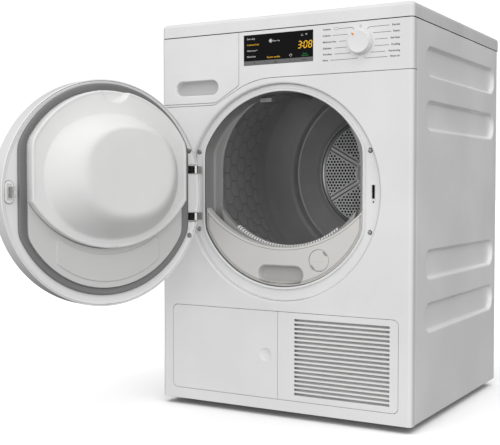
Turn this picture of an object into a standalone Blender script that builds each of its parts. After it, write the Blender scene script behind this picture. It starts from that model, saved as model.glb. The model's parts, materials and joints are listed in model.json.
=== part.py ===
"""A front-loading heat-pump clothes dryer, modelled as separate sub-parts with its door standing open.

Metres, +Z up. Sizes and places below are in the cabinet's frame: X to the right seen from the front, Y from
the front face (0) to the back, Z up from the floor (0). The empty dryer_frame moves that frame so that the
origin is on the floor under the middle of the whole object, open door included.
"""

import math

import bmesh
import bpy
from mathutils import Matrix, Vector

# ---- Driving dimensions -------------------------------------------------------------------------------
GAP = 0.0003              # between solids that touch or run on each other
SEAM = 0.0010             # visible seam between two front mouldings
SHEET = 0.0015            # steel sheet
WALL = 0.0030             # moulded wall

CABINET_WIDTH = 0.596
CABINET_DEPTH = 0.568     # front face to the rear edge of the side panels
CABINET_BOTTOM = 0.014
LID_TOP = 0.850
LID_THICKNESS = 0.0297
LID_OVERHANG = 0.015      # how far the lid reaches past the side panels
LID_DEPTH = CABINET_DEPTH + LID_OVERHANG
LID_SKIN = 0.0030
LID_RIM = 0.0080
LID_GAP = 0.0018
LID_EDGE_RADIUS = 0.006
CORNER_RADIUS = 0.008     # vertical corners of the front mouldings
FRONT_WRAP = 0.022        # how far the front mouldings wrap round the sides

POCKET_HEIGHT = 0.061     # pressed stadium pockets in the side panels
POCKET_DEPTH = 0.008
POCKET_SLOPE = 0.005
POCKET_FRONT = 0.0715
POCKET_REAR = CABINET_DEPTH - 0.022
POCKET_LEVELS = (0.742, 0.633, 0.330, 0.2206)

# Front seams
STRIP_HEIGHT = 0.0050     # strip of the fascia that runs under the container front
CONTAINER_SEAM_X = -0.0975
CONTAINER_SEAM_Z = 0.6719
FASCIA_SEAM_Z = 0.7187
SEAM_SHOULDER_Z = 0.7058  # where the container front's right edge turns into its slanting corner
SEAM_TOE_X = -0.1600      # where that slanting corner meets the level lower edge

# Control fascia
DISPLAY_LEFT, DISPLAY_RIGHT = -0.0844, 0.0810
DISPLAY_TOP, DISPLAY_BOTTOM = 0.8110, 0.7560
KEY_BAR_HEIGHT = 0.0095
GLASS_THICKNESS = 0.0020
KNOB_X, KNOB_Z = 0.1870, 0.7770
KNOB_RADIUS = 0.0248
KNOB_HEIGHT = 0.0140
KNOB_SHAFT_RADIUS = 0.0040
BOARD_THICKNESS = 0.0016
BOARD_Y = 0.0135

# Container
GRIP_LEFT, GRIP_RIGHT = -0.2596, -0.1498
GRIP_BOTTOM, GRIP_TOP = 0.6897, 0.7212
GRIP_DEPTH = 0.018
CONTAINER_LENGTH = CABINET_DEPTH - 0.148
CONTAINER_WALL = 0.0025
TRAY_CLEARANCE = 0.0012

# Loading door opening
RECESS_RADIUS = 0.2290
RECESS_Z = 0.4760
RECESS_DEPTH = 0.0100
COLLAR_LENGTH = 0.016
OPENING_Z = 0.4830
LIP_RADIUS, LIP_HALF_WIDTH = 0.2120, 0.1940
LIP_WIDTH = 0.0055
LIP_HEIGHT = 0.0040
MOUTH_Z = 0.5255
MOUTH_RADIUS = 0.1665
MOUTH_SHOULDER_Z = 0.4450  # the mouth's sides run straight down to here
MOUTH_BOTTOM_Z = 0.3600
LATCH_X, LATCH_Z = 0.2110, 0.4785
LATCH_SLOT_WIDTH, LATCH_SLOT_HEIGHT = 0.0080, 0.0300
RING_SCREWS = ((0.2040, 0.5618), (0.2030, 0.3966), (-0.2050, 0.5660), (-0.2050, 0.3950))
SCREW_HEAD_RADIUS = 0.0042
SCREW_SHANK_RADIUS = 0.0018

# Filter in the doorway
FILTER_ARC_RADIUS = 0.2563
FILTER_ARC_Z = 0.6163
FILTER_FACE_Y = 0.0105
FILTER_BODY_DEPTH = 0.0240
FILTER_CLEARANCE = 0.0008
FILTER_GRIP_X, FILTER_GRIP_Z = -0.0020, 0.3030
FILTER_GRIP_LENGTH, FILTER_GRIP_HEIGHT = 0.1080, 0.0360
FILTER_GRIP_DEPTH = 0.0160
CAP_X, CAP_Z = 0.0890, 0.3355
CAP_RADIUS = 0.0225
SIEVE_THICKNESS = 0.0085
SIEVE_CLEARANCE = 0.0017   # between the sieve and the tunnel's back wall
TUNNEL_DEPTH = FILTER_FACE_Y + FILTER_BODY_DEPTH + GAP + SIEVE_THICKNESS + SIEVE_CLEARANCE

# Door
DOOR_OPEN_DEG = 111.4
HINGE_X, HINGE_Y = -0.2125, -0.0400
DOOR_Z = RECESS_Z
DOOR_RADIUS = 0.2275
DOOR_FACE_Y = -0.0530
DOOR_RIM_Y = 0.0025
DOOR_EDGE_RADIUS = 0.020
SEAL_Z = 0.4830
SEAL_OUTER_RADIUS, SEAL_OUTER_HALF = 0.2125, 0.1940
SEAL_INNER_RADIUS, SEAL_INNER_HALF = 0.1985, 0.1760
SEAL_GAP = 0.0008
BOWL_PLATE_Y = 0.0260
BOWL_PLATE_BOTTOM_Z = 0.3660
BOWL_PLATE_CORNER_Z = 0.4600
BOWL_BASE_X, BOWL_BASE_Z = 0.1480, 0.1220
BOWL_TIP_SCALE = 0.66
BOWL_TIP_Y = 0.0860
BOWL_CENTRE_Z = 0.5120
LOWER_PANEL_Y = 0.0070
PAD_HALF_WIDTH = 0.1180
PAD_TOP_Z = 0.3880
ARM_LEVELS = (0.5260, 0.4240)
ARM_HEIGHT = 0.0180
ARM_THICKNESS = 0.0050
ARM_ELBOW = (-0.1840, -0.0300)
ARM_SHOULDER = (-0.2015, -0.0040)
HINGE_PIN_RADIUS = 0.0025
DOOR_SCREW_X = -0.1995
HINGE_EYE_RADIUS = 0.0052
RUNNING = 0.0003          # radial clearance of pins and axles
HOOK_PIVOT_Y = -0.0120
HOOK_REACH = 0.0270

# Service flap and grille
HATCH_HALF_WIDTH = 0.2705
HATCH_BOTTOM, HATCH_TOP = 0.0375, 0.2255
HATCH_CORNER = 0.0120
HATCH_GAP = 0.0008
FLAP_SEAM_X = -0.0017
DIMPLE_X, DIMPLE_Z = -0.0310, 0.1310
DIMPLE_RADIUS = 0.0137
SLOT_COUNT = 18
SLOT_LEFT, SLOT_RIGHT = 0.0380, 0.2515
SLOT_LOW_Z, SLOT_HIGH_Z = 0.0533, 0.2090
SLOT_HEIGHT = 0.0050

# Drum and its running gear
DRUM_Z = 0.5230
DRUM_RADIUS = 0.2745
DRUM_WALL = 0.0012
FELT_DEPTH = 0.0052
DRUM_FRONT = TUNNEL_DEPTH + WALL + FELT_DEPTH + 2 * GAP
DRUM_REAR = CABINET_DEPTH - 0.062
DRUM_SHOULDER_START = 0.0760   # the drum narrows over this length before its rear
DRUM_SHOULDER_END = 0.0180
DRUM_MOUTH_RADIUS = 0.1870
STEP_RADIUS = 0.2245
BACK_RADIUS = 0.1445
DRUM_SHAFT_RADIUS = 0.0100
DRUM_SHAFT_END = DRUM_REAR + 0.042
RIB_ANGLES = (5, 125, 245)
RIB_HEIGHT = 0.042
RIB_FRONT, RIB_REAR = 0.100, DRUM_REAR - 0.086
ROLLER_RADIUS = 0.030
ROLLER_WIDTH = 0.018
ROLLER_Y = DRUM_FRONT + 0.0062
ROLLER_ANGLE_DEG = 30.0   # from straight down
ROLLER_AXLE_RADIUS = 0.0040
BULKHEAD_Y = TUNNEL_DEPTH + WALL + 2 * GAP
DUCT_RADIUS = 0.1600
DUCT_WALL = 0.0025
DUCT_REAR = DRUM_REAR + 0.046
BELT_THICKNESS = 0.0020
BELT_GAP = 0.0006
BELT_WIDTH = 0.0120

MOTOR_X, MOTOR_Z = -0.1300, 0.1550
MOTOR_RADIUS = 0.0550
MOTOR_LENGTH = 0.1000
MOTOR_BORE_RADIUS = 0.0280
MOTOR_SHAFT_RADIUS = 0.0060
MOTOR_PULLEY_RADIUS = 0.0120
FAN_REAR = CABINET_DEPTH - 0.048
FAN_FRONT = FAN_REAR - 0.080
MOTOR_REAR = FAN_FRONT - 0.015
MOTOR_FRONT = MOTOR_REAR - MOTOR_LENGTH
BELT_Y = MOTOR_FRONT - 0.023
IMPELLER_RADIUS = 0.0700
IMPELLER_VANES = 12

HEAT_LEFT, HEAT_RIGHT = -0.2450, -0.0300     # both heat exchangers stand between these
HEAT_BOTTOM, HEAT_TOP = CABINET_BOTTOM + 0.050, 0.2100
HEAT_FRAME = 0.0040
FIN_COUNT = 13
FIN_THICKNESS = 0.0020
HEAT_GAP = 0.0100
EVAPORATOR_FRONT = 0.0480
CONDENSER_DEPTH = 0.1100
CONDENSER_REAR = BELT_Y - 0.027
CONDENSER_FRONT = CONDENSER_REAR - CONDENSER_DEPTH
COMPRESSOR_X, COMPRESSOR_Y = 0.1650, CABINET_DEPTH - 0.228
COMPRESSOR_RADIUS = 0.0600

REAR_PANEL_Y = CABINET_DEPTH - 0.0080
REAR_COVER_HALF = 0.2000
REAR_COVER_BOTTOM, REAR_COVER_TOP = 0.1100, 0.7600
REAR_COVER_Y = CABINET_DEPTH + 0.0120
REAR_COVER_WALL = 0.0020
VENT_COUNT = 10
VENT_PITCH, VENT_HEIGHT = 0.0180, 0.0060
VENT_LEFT, VENT_RIGHT, VENT_LOW = -0.2650, -0.2150, 0.1500
INLET_LEFT, INLET_RIGHT = 0.2150, 0.2650
INLET_BOTTOM, INLET_TOP = 0.7050, 0.7450
INLET_DEPTH = 0.0140
INLET_WALL = 0.0080

FOOT_X = CABINET_WIDTH / 2 - 0.050
FOOT_FRONT_Y, FOOT_REAR_Y = 0.0750, CABINET_DEPTH - 0.053
FOOT_RADIUS = 0.0220
FOOT_PAD_HEIGHT = 0.0080
FOOT_STEM_RADIUS = 0.0050
TRAY_HEIGHT = 0.0440

BIG_STEPS = 48
SMALL_STEPS = 16
HALF_WIDTH = CABINET_WIDTH / 2
LID_BOTTOM = LID_TOP - LID_THICKNESS
FRONT_TOP = LID_BOTTOM - LID_GAP

PARTS = "clothes_dryer"
CUTTERS = "dryer_cutters"


# ---- Scene helpers ------------------------------------------------------------------------------------
def clear_scene():
    for old in list(bpy.data.objects):
        bpy.data.objects.remove(old, do_unlink=True)
    for title in (PARTS, CUTTERS):
        bpy.context.scene.collection.children.link(bpy.data.collections.new(title))


def material(name, colour, roughness, metallic=0.0):
    made = bpy.data.materials.new(name)
    made.use_nodes = True
    shader = made.node_tree.nodes["Principled BSDF"]
    shader.inputs["Base Color"].default_value = (*colour, 1.0)
    shader.inputs["Roughness"].default_value = roughness
    shader.inputs["Metallic"].default_value = metallic
    return made


def put(name, data, look=None):
    """A new object in the parts collection, with its material."""
    made = bpy.data.objects.new(name, data)
    bpy.data.collections[PARTS].objects.link(made)
    if look:
        data.materials.append(look)
    return made


def empty(name, at, holder=None, turn_deg=0.0):
    """A joint's empty. It keeps where it is in the cabinet's frame, with the door shut, as "at"."""
    made = bpy.data.objects.new(name, None)
    bpy.data.collections[PARTS].objects.link(made)
    made.empty_display_size = 0.02
    made["at"] = at
    made.location = at
    made.rotation_euler.z = math.radians(turn_deg)
    if holder:
        hold(holder, made)
    return made


def hold(holder, *pieces):
    """Parent pieces, placed in the cabinet's frame with the door shut, to an empty."""
    for piece in pieces:
        piece.parent = holder
        piece.location = piece.location - Vector(holder["at"])
    return pieces[0]


def helper(piece):
    """Turn a piece into a cutter: out of the render, drawn as wire, in its own collection."""
    bpy.data.collections[PARTS].objects.unlink(piece)
    bpy.data.collections[CUTTERS].objects.link(piece)
    piece.hide_render = True
    piece.display_type = "WIRE"
    return piece


def boolean(piece, other, operation):
    step = piece.modifiers.new(f"{operation.lower()} {other.name}", "BOOLEAN")
    step.operation = operation
    step.solver = "EXACT"
    step.object = helper(other)


def cut(piece, *others):
    for other in others:
        boolean(piece, other, "DIFFERENCE")
    return piece


def join(piece, *others):
    for other in others:
        boolean(piece, other, "UNION")
    return piece


def keep(piece, other):
    boolean(piece, other, "INTERSECT")
    return piece


def round_edges(piece, width, segments=2, angle_deg=40):
    step = piece.modifiers.new("rounded edges", "BEVEL")
    step.width = width
    step.segments = segments
    step.limit_method = "ANGLE"
    step.angle_limit = math.radians(angle_deg)
    return piece


# ---- Shape helpers ------------------------------------------------------------------------------------
def blocks(name, look, *boxes):
    """One object from boxes, each (low corner, high corner)."""
    shape = bmesh.new()
    for low, high in boxes:
        size = Vector(high) - Vector(low)
        middle = (Vector(high) + Vector(low)) / 2
        bmesh.ops.create_cube(shape, size=1.0, matrix=Matrix.Translation(middle) @ Matrix.Diagonal((*size,
                                                                                                    1.0)))
    data = bpy.data.meshes.new(name)
    shape.to_mesh(data)
    shape.free()
    return put(name, data, look)


def turned(name, look, profile, at, axis="Y", steps=BIG_STEPS, closed=True):
    """Turn a profile of (radius, height) points, the outer side running from high to low, round an axis."""
    data = bpy.data.meshes.new(name)
    edges = [(i, i + 1) for i in range(len(profile) - 1)]
    if closed:
        edges.append((len(profile) - 1, 0))
    data.from_pydata([(radius, 0.0, height) for radius, height in profile], edges, [])
    made = put(name, data, look)
    made.location = at
    made.rotation_euler.x = math.radians(-90) if axis == "Y" else 0.0
    spin = made.modifiers.new("turning", "SCREW")
    spin.steps = spin.render_steps = steps
    spin.use_merge_vertices = True
    spin.merge_threshold = 1e-5
    spin.use_smooth_shade = False
    return made


def ring(inner, outer, low, high):
    return [(inner, low), (inner, high), (outer, high), (outer, low)]


def disc(name, look, radius, low, high, at, axis="Y", steps=BIG_STEPS):
    """A round plate or pin from low to high along its axis, measured from at."""
    profile = [(0.0, high), (radius, high), (radius, low), (0.0, low)]
    return turned(name, look, profile, at, axis, steps, closed=False)


def outline(name, look, loops, low, high, normal="Y"):
    """Extrude flat outlines from low to high along their normal. Later loops are holes in the first."""
    flat = bpy.data.curves.new(name, "CURVE")
    flat.dimensions = "2D"
    flat.fill_mode = "BOTH"
    flat.extrude = (high - low) / 2
    for loop in loops:
        spline = flat.splines.new("POLY")
        spline.points.add(len(loop) - 1)
        for point, place in zip(spline.points, loop):
            point.co = (place[0], place[1], 0.0, 1.0)
        spline.use_cyclic_u = True
    made = put(name, flat, look)
    middle = (low + high) / 2
    made.location = {"X": (middle, 0, 0), "Y": (0, middle, 0), "Z": (0, 0, middle)}[normal]
    made.rotation_euler = {
        "X": (math.pi / 2, 0, math.pi / 2),
        "Y": (math.pi / 2, 0, 0),
        "Z": (0, 0, 0),
    }[normal]
    return as_mesh(made)


def as_mesh(curve):
    """The same object as a welded mesh with its faces pointing out, in the parts collection."""
    bpy.context.view_layer.update()
    graph = bpy.context.evaluated_depsgraph_get()
    data = bpy.data.meshes.new_from_object(curve.evaluated_get(graph))
    shape = bmesh.new()
    shape.from_mesh(data)
    bmesh.ops.remove_doubles(shape, verts=shape.verts, dist=1e-6)
    bmesh.ops.recalc_face_normals(shape, faces=shape.faces)
    shape.to_mesh(data)
    shape.free()
    name, place, old = curve.name, curve.matrix_world.copy(), curve.data
    bpy.data.objects.remove(curve, do_unlink=True)
    bpy.data.curves.remove(old)
    made = put(name, data)
    made.matrix_world = place
    return made


def arc(x, z, radius, start_deg, end_deg, count):
    """Points along an arc, both ends included."""
    step = (end_deg - start_deg) / (count - 1)
    angles = [math.radians(start_deg + step * i) for i in range(count)]
    return [(x + radius * math.cos(angle), z + radius * math.sin(angle)) for angle in angles]


def circle(x, z, radius, count):
    return arc(x, z, radius, 0, 360 - 360 / count, count)


def flat_sided(z, radius, half_width, count=20):
    """A circle whose left and right are cut flat at half_width, counter-clockwise from the right."""
    corner = math.degrees(math.acos(half_width / radius))
    top = arc(0, z, radius, corner, 180 - corner, count)
    bottom = arc(0, z, radius, 180 + corner, 360 - corner, count)
    return top + bottom


def arc_between(left, bottom_z, right, count):
    """Points on the arc that hangs from left through the middle at bottom_z up to right."""
    half = (right[0] - left[0]) / 2
    drop = left[1] - bottom_z
    radius = (half * half + drop * drop) / (2 * drop)
    reach = math.degrees(math.asin(half / radius))
    return arc((left[0] + right[0]) / 2, bottom_z + radius, radius, 270 - reach, 270 + reach, count)


def rounded_box(left, right, low, high, radius, corners=(1, 1, 1, 1), count=6):
    """A rectangle with chosen corners rounded, in the order right-top, left-top, left-low, right-low."""
    points = []
    places = ((right, high, 0, -1, -1), (left, high, 90, 1, -1), (left, low, 180, 1, 1),
              (right, low, 270, -1, 1))
    for rounded, (x, z, start, inward_x, inward_z) in zip(corners, places):
        if rounded:
            middle = (x + inward_x * radius, z + inward_z * radius)
            points += arc(*middle, radius, start, start + 90, count)
        else:
            points.append((x, z))
    return points


def stadium(left, right, low, high, count=7):
    """A slot outline with half-round ends."""
    radius = (high - low) / 2
    middle = (high + low) / 2
    return arc(right - radius, middle, radius, -90, 90, count) + arc(left + radius, middle, radius, 90,
                                                                     270, count)


def ribbon(points, width):
    """The outline of a flat strip of the given width whose middle follows points."""
    half = width / 2
    left, right = [], []
    for i, place in enumerate(points):
        before = Vector(points[max(i - 1, 0)])
        after = Vector(points[min(i + 1, len(points) - 1)])
        here = Vector(place)
        first = (here - before).normalized() if i else (after - here).normalized()
        last = (after - here).normalized() if i < len(points) - 1 else first
        mitre = Vector((-(first + last).y, (first + last).x)).normalized()
        reach = half / max(mitre.dot(Vector((-first.y, first.x))), 0.3)
        left.append(tuple(here + mitre * reach))
        right.append(tuple(here - mitre * reach))
    return left + right[::-1]


# ---- Cabinet ------------------------------------------------------------------------------------------
def skin_plan():
    """Plan of the front mouldings: a thin U that turns round both vertical corners."""
    radius = CORNER_RADIUS
    inner = radius - WALL
    outside = [(-HALF_WIDTH, FRONT_WRAP)]
    outside += arc(-HALF_WIDTH + radius, radius, radius, 180, 270, 6)
    outside += arc(HALF_WIDTH - radius, radius, radius, 270, 360, 6)
    outside.append((HALF_WIDTH, FRONT_WRAP))
    inside = [(HALF_WIDTH - WALL, FRONT_WRAP)]
    inside += arc(HALF_WIDTH - radius, radius, inner, 360, 270, 4)
    inside += arc(-HALF_WIDTH + radius, radius, inner, 270, 180, 4)
    inside.append((-HALF_WIDTH + WALL, FRONT_WRAP))
    return outside + inside


def skin(name, look):
    return outline(name, look, [skin_plan()], CABINET_BOTTOM, FRONT_TOP, "Z")


def slanting_seam(offset):
    """The container front's lower right corner, from its level lower edge up to its right edge."""
    low = CONTAINER_SEAM_Z - offset
    toe = (SEAM_TOE_X + offset / 2, low)
    shoulder = (CONTAINER_SEAM_X + offset, SEAM_SHOULDER_Z - offset / 2)
    near_toe = (toe[0] + 0.008, low + 0.0022)
    return [toe, near_toe, shoulder]


def container_front_region():
    edge = slanting_seam(0.0)
    return [(-HALF_WIDTH - WALL, CONTAINER_SEAM_Z), *edge, (CONTAINER_SEAM_X, FRONT_TOP + WALL),
            (-HALF_WIDTH - WALL, FRONT_TOP + WALL)]


def lower_seam(offset):
    """The fascia's lower edge from left to right, raised by offset."""
    low = CONTAINER_SEAM_Z - STRIP_HEIGHT + offset
    high = FASCIA_SEAM_Z + offset
    run_out = arc(-0.0142, high - 0.085, 0.085, 112, 90, 7)
    return [(-HALF_WIDTH - WALL, low), (SEAM_TOE_X - 0.003, low), (SEAM_TOE_X + 0.012, low + 0.004),
            (-0.094, low + 0.0297), *run_out, (HALF_WIDTH + WALL, high)]


def fascia_region():
    """The fascia: the whole strip above the lower seam, less the container front."""
    top = FRONT_TOP + WALL
    left = -HALF_WIDTH - WALL
    edge = slanting_seam(SEAM)
    return [*lower_seam(0.0), (HALF_WIDTH + WALL, top), (CONTAINER_SEAM_X + SEAM, top), *edge[::-1],
            (left, CONTAINER_SEAM_Z - SEAM)]


def front_region():
    left, right = -HALF_WIDTH - WALL, HALF_WIDTH + WALL
    return [(left, 0.0), (right, 0.0), *lower_seam(-SEAM)[::-1]]


def front_slab(name, region):
    """A cutter that stands in front of and behind the skin, with the outline of one moulding."""
    return outline(name, None, [region], -0.010, FRONT_WRAP + 0.010)


def build_front_panel(look):
    panel = skin("front_panel", look)
    keep(panel, front_slab("front_panel_region", front_region()))
    collar = turned("recess_collar", None, ring(RECESS_RADIUS - 0.0005, RECESS_RADIUS + WALL, 0.0005,
                                                COLLAR_LENGTH),
                    (0, 0, RECESS_Z))
    join(panel, collar)
    cut(panel, disc("recess_bore", None, RECESS_RADIUS, -0.01, 0.05, (0, 0, RECESS_Z)))
    hatch = rounded_box(-HATCH_HALF_WIDTH, HATCH_HALF_WIDTH, HATCH_BOTTOM, HATCH_TOP, HATCH_CORNER)
    cut(panel, outline("hatch_window", None, [hatch], -0.01, FRONT_WRAP - WALL))
    return panel


def build_fascia(look):
    fascia = skin("control_fascia", look)
    keep(fascia, front_slab("fascia_region", fascia_region()))
    window = ((DISPLAY_LEFT, -0.01, DISPLAY_BOTTOM - KEY_BAR_HEIGHT), (DISPLAY_RIGHT, 0.01, DISPLAY_TOP))
    cut(fascia, blocks("display_window", None, window))
    cut(fascia, disc("knob_hole", None, KNOB_SHAFT_RADIUS + RUNNING, -0.01, 0.01, (KNOB_X, 0, KNOB_Z),
                     steps=SMALL_STEPS))
    return fascia


def build_display(glass_look, key_look, board_look):
    left, right = DISPLAY_LEFT + GAP, DISPLAY_RIGHT - GAP
    split = DISPLAY_BOTTOM
    glass = blocks("display_glass", glass_look,
                   ((left, 0, split + GAP / 2), (right, GLASS_THICKNESS, DISPLAY_TOP - GAP)))
    keys = blocks("touch_key_bar", key_look,
                  ((left, 0, split - KEY_BAR_HEIGHT + GAP), (right, GLASS_THICKNESS, split - GAP / 2)))
    low, high = BOARD_Y, BOARD_Y + BOARD_THICKNESS
    board = blocks("control_board", board_look,
                   ((CONTAINER_SEAM_X + 0.006, low, 0.7300), (HALF_WIDTH - 0.012, high, FRONT_TOP - 0.004)))
    join(board, blocks("display_module", None,
                       ((left + 0.004, GLASS_THICKNESS + GAP, DISPLAY_BOTTOM - KEY_BAR_HEIGHT + 0.002),
                        (right - 0.004, BOARD_Y + BOARD_THICKNESS / 2, DISPLAY_TOP - 0.002))))
    return glass, keys, board


def build_knob(look):
    skirt, back, tail = KNOB_RADIUS, -0.0008, BOARD_Y - GAP
    profile = [(0.0, tail), (KNOB_SHAFT_RADIUS, tail), (KNOB_SHAFT_RADIUS, back), (skirt, back),
               (skirt, -0.0035),
               (skirt * 0.93, -KNOB_HEIGHT + 0.0015), (skirt * 0.88, -KNOB_HEIGHT), (0.0, -KNOB_HEIGHT)]
    return turned("programme_knob", look, profile, (KNOB_X, 0, KNOB_Z), steps=32, closed=False)


def build_lid(look):
    lid = blocks("top_cover", look, ((-HALF_WIDTH, 0, LID_BOTTOM), (HALF_WIDTH, LID_DEPTH, LID_TOP)))
    cut(lid, blocks("lid_hollow", None, ((-HALF_WIDTH + LID_RIM, LID_RIM, LID_BOTTOM - 0.01),
                                         (HALF_WIDTH - LID_RIM, LID_DEPTH - LID_RIM, LID_TOP - LID_SKIN))))
    return round_edges(lid, LID_EDGE_RADIUS / 2, 2, 60)


def build_side(name, side, look):
    """A steel side with four pressed pockets. side is -1 for left, 1 for right."""
    face = HALF_WIDTH
    front, rear = FRONT_WRAP + SEAM, CABINET_DEPTH
    span = (face - SHEET, face)
    panel = blocks(name, look, ((span[0], front, CABINET_BOTTOM + 0.001), (span[1], rear, FRONT_TOP)))
    for number, level in enumerate(POCKET_LEVELS):
        low, high = level - POCKET_HEIGHT / 2, level + POCKET_HEIGHT / 2
        wide = stadium(POCKET_FRONT - SHEET, POCKET_REAR + SHEET, low - SHEET, high + SHEET)
        join(panel, outline(f"{name}_bulge_{number}", None, [wide], face - POCKET_DEPTH - SHEET,
                            face - SHEET / 2, "X"))
        pocket = stadium(POCKET_FRONT, POCKET_REAR, low, high)
        cut(panel, outline(f"{name}_pocket_{number}", None, [pocket], face - POCKET_DEPTH, face + 0.01,
                           "X"))
    if side < 0:
        mirror_x(panel)
    return panel


def mirror_x(piece):
    """Move a piece with its cutters to the other side of the cabinet."""
    solids = [piece] + [step.object for step in piece.modifiers if step.type == "BOOLEAN"]
    for solid in solids:
        solid.data.transform(Matrix.Translation(solid.location) @ solid.rotation_euler.to_matrix().to_4x4())
        solid.location = (0, 0, 0)
        solid.rotation_euler = (0, 0, 0)
        solid.data.transform(Matrix.Diagonal((-1, 1, 1, 1)))
        solid.data.flip_normals()


def build_rear(look):
    inside = HALF_WIDTH - SHEET - GAP
    outer = REAR_PANEL_Y + SHEET
    rear = blocks("rear_panel", look, ((-inside, REAR_PANEL_Y, CABINET_BOTTOM + 0.004),
                                       (inside, outer, FRONT_TOP)))
    half, low, high, wall = REAR_COVER_HALF, REAR_COVER_BOTTOM, REAR_COVER_TOP, REAR_COVER_WALL
    cover = blocks("rear_duct_cover", look, ((-half, outer + GAP, low), (half, REAR_COVER_Y, high)))
    cut(cover, blocks("rear_cover_hollow", None, ((-half + wall, REAR_PANEL_Y - 0.010, low + wall),
                                                  (half - wall, REAR_COVER_Y - wall, high - wall))))
    round_edges(cover, 0.0008, 1, 60)
    slots = []
    for number in range(VENT_COUNT):
        level = VENT_LOW + VENT_PITCH * number
        slots.append(((VENT_LEFT, REAR_PANEL_Y - 0.010, level),
                      (VENT_RIGHT, REAR_PANEL_Y + 0.010, level + VENT_HEIGHT)))
    cut(rear, blocks("rear_vents", None, *slots))
    return rear, cover


def build_base(look):
    half = HALF_WIDTH - SHEET - POCKET_DEPTH - 0.0040
    front, rear = FRONT_WRAP + 0.004, CABINET_DEPTH - 0.012
    low, high = CABINET_BOTTOM + 0.002, CABINET_BOTTOM + TRAY_HEIGHT
    tray = blocks("base_tray", look, ((-half, front, low), (half, rear, high)))
    cut(tray, blocks("tray_hollow", None, ((-half + WALL, front + WALL, low + WALL),
                                           (half - WALL, rear - WALL, high + 0.01))))
    places = [(x, y, 0) for x, y in foot_places()]
    for number, place in enumerate(places):
        boss = disc(f"foot_boss_{number}", None, FOOT_STEM_RADIUS + 0.006, low + 0.001, low + 0.018, place,
                    "Z", SMALL_STEPS)
        boss.rotation_euler.z = math.pi / SMALL_STEPS
        join(tray, boss)
    for number, place in enumerate(places):
        cut(tray, disc(f"foot_bore_{number}", None, FOOT_STEM_RADIUS + RUNNING, 0, 0.1, place, "Z",
                       SMALL_STEPS))
    return tray


def foot_places():
    return [(x, y) for y in (FOOT_FRONT_Y, FOOT_REAR_Y) for x in (-FOOT_X, FOOT_X)]


def build_feet(look):
    feet = []
    pad = FOOT_PAD_HEIGHT
    profile = [(0.0, 0.030), (FOOT_STEM_RADIUS, 0.030), (FOOT_STEM_RADIUS, pad), (FOOT_RADIUS * 0.7, pad),
               (FOOT_RADIUS, pad * 0.5), (FOOT_RADIUS, 0.0), (0.0, 0.0)]
    names = ("foot_front_left", "foot_front_right", "foot_rear_left", "foot_rear_right")
    for name, (x, y) in zip(names, foot_places()):
        feet.append(turned(name, look, profile, (x, y, 0), "Z", SMALL_STEPS, closed=False))
    return feet


def build_flap(look):
    left, right = -HATCH_HALF_WIDTH + HATCH_GAP, FLAP_SEAM_X - HATCH_GAP / 2
    shape = rounded_box(left, right, HATCH_BOTTOM + HATCH_GAP, HATCH_TOP - HATCH_GAP, HATCH_CORNER,
                        (0, 1, 1, 0))
    flap = outline("service_flap", look, [shape], 0, WALL)
    cut(flap, turned("flap_dimple", None, [(0.0, 0.0012), (DIMPLE_RADIUS * 0.8, 0.0012),
                                           (DIMPLE_RADIUS, -0.0002),
                                           (DIMPLE_RADIUS, -0.002), (0.0, -0.002)],
                     (DIMPLE_X, 0, DIMPLE_Z), steps=SMALL_STEPS, closed=False))
    return flap


def build_grille(look):
    left, right = FLAP_SEAM_X + HATCH_GAP / 2, HATCH_HALF_WIDTH - HATCH_GAP
    shape = rounded_box(left, right, HATCH_BOTTOM + HATCH_GAP, HATCH_TOP - HATCH_GAP, HATCH_CORNER,
                        (1, 0, 0, 1))
    grille = outline("grille_panel", look, [shape], 0, WALL)
    pitch = (SLOT_HIGH_Z - SLOT_LOW_Z) / (SLOT_COUNT - 1)
    slots = []
    for number in range(SLOT_COUNT):
        level = SLOT_LOW_Z + pitch * number
        slots.append(((SLOT_LEFT, -0.01, level - SLOT_HEIGHT / 2),
                      (SLOT_RIGHT, 0.01, level + SLOT_HEIGHT / 2)))
    return cut(grille, blocks("grille_slots", None, *slots))


# ---- Condensate container -----------------------------------------------------------------------------
def container_shape(inset):
    """Section of the container, whose underside follows the drum, moved in by inset."""
    diagonal = inset * 0.414
    left, right, top = -HALF_WIDTH + 0.013 + inset, -0.103 - inset, 0.812 - inset
    return [(left, top), (left, 0.712 + inset), (-0.228 - diagonal, 0.712 + inset),
            (-0.168 - diagonal, 0.764 + inset), (-0.115 - diagonal, 0.792 + inset), (right, 0.792 + inset),
            (right, top)]


def build_container_front(look):
    panel = skin("container_front", look)
    keep(panel, front_slab("container_region", container_front_region()))
    wall = 0.002
    bulge = stadium(GRIP_LEFT - wall, GRIP_RIGHT + wall, GRIP_BOTTOM - wall, GRIP_TOP + wall)
    join(panel, outline("grip_bulge", None, [bulge], WALL / 2, GRIP_DEPTH + wall))
    cut(panel, outline("grip_pocket", None, [stadium(GRIP_LEFT, GRIP_RIGHT, GRIP_BOTTOM, GRIP_TOP)], -0.01,
                       GRIP_DEPTH))
    return panel


def build_container(look, tray_look):
    front = FRONT_WRAP + 0.004
    tank = outline("condensate_container", look, [container_shape(0.0)], front, front + CONTAINER_LENGTH)
    cut(tank, outline("tank_hollow", None, [container_shape(CONTAINER_WALL)], front + CONTAINER_WALL,
                      front + CONTAINER_LENGTH - CONTAINER_WALL))
    cut(tank, disc("tank_spout", None, 0.012, 0.80, 0.83, (-0.255, front + CONTAINER_LENGTH - 0.030, 0),
                   "Z",
                   SMALL_STEPS))
    under = container_shape(-TRAY_CLEARANCE)[1:6]
    below = container_shape(-TRAY_CLEARANCE - SHEET)[1:6]
    tray = outline("container_tray", tray_look, [under + below[::-1]], BULKHEAD_Y + 0.006,
                   DRUM_REAR - 0.006)
    return tank, tray


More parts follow.
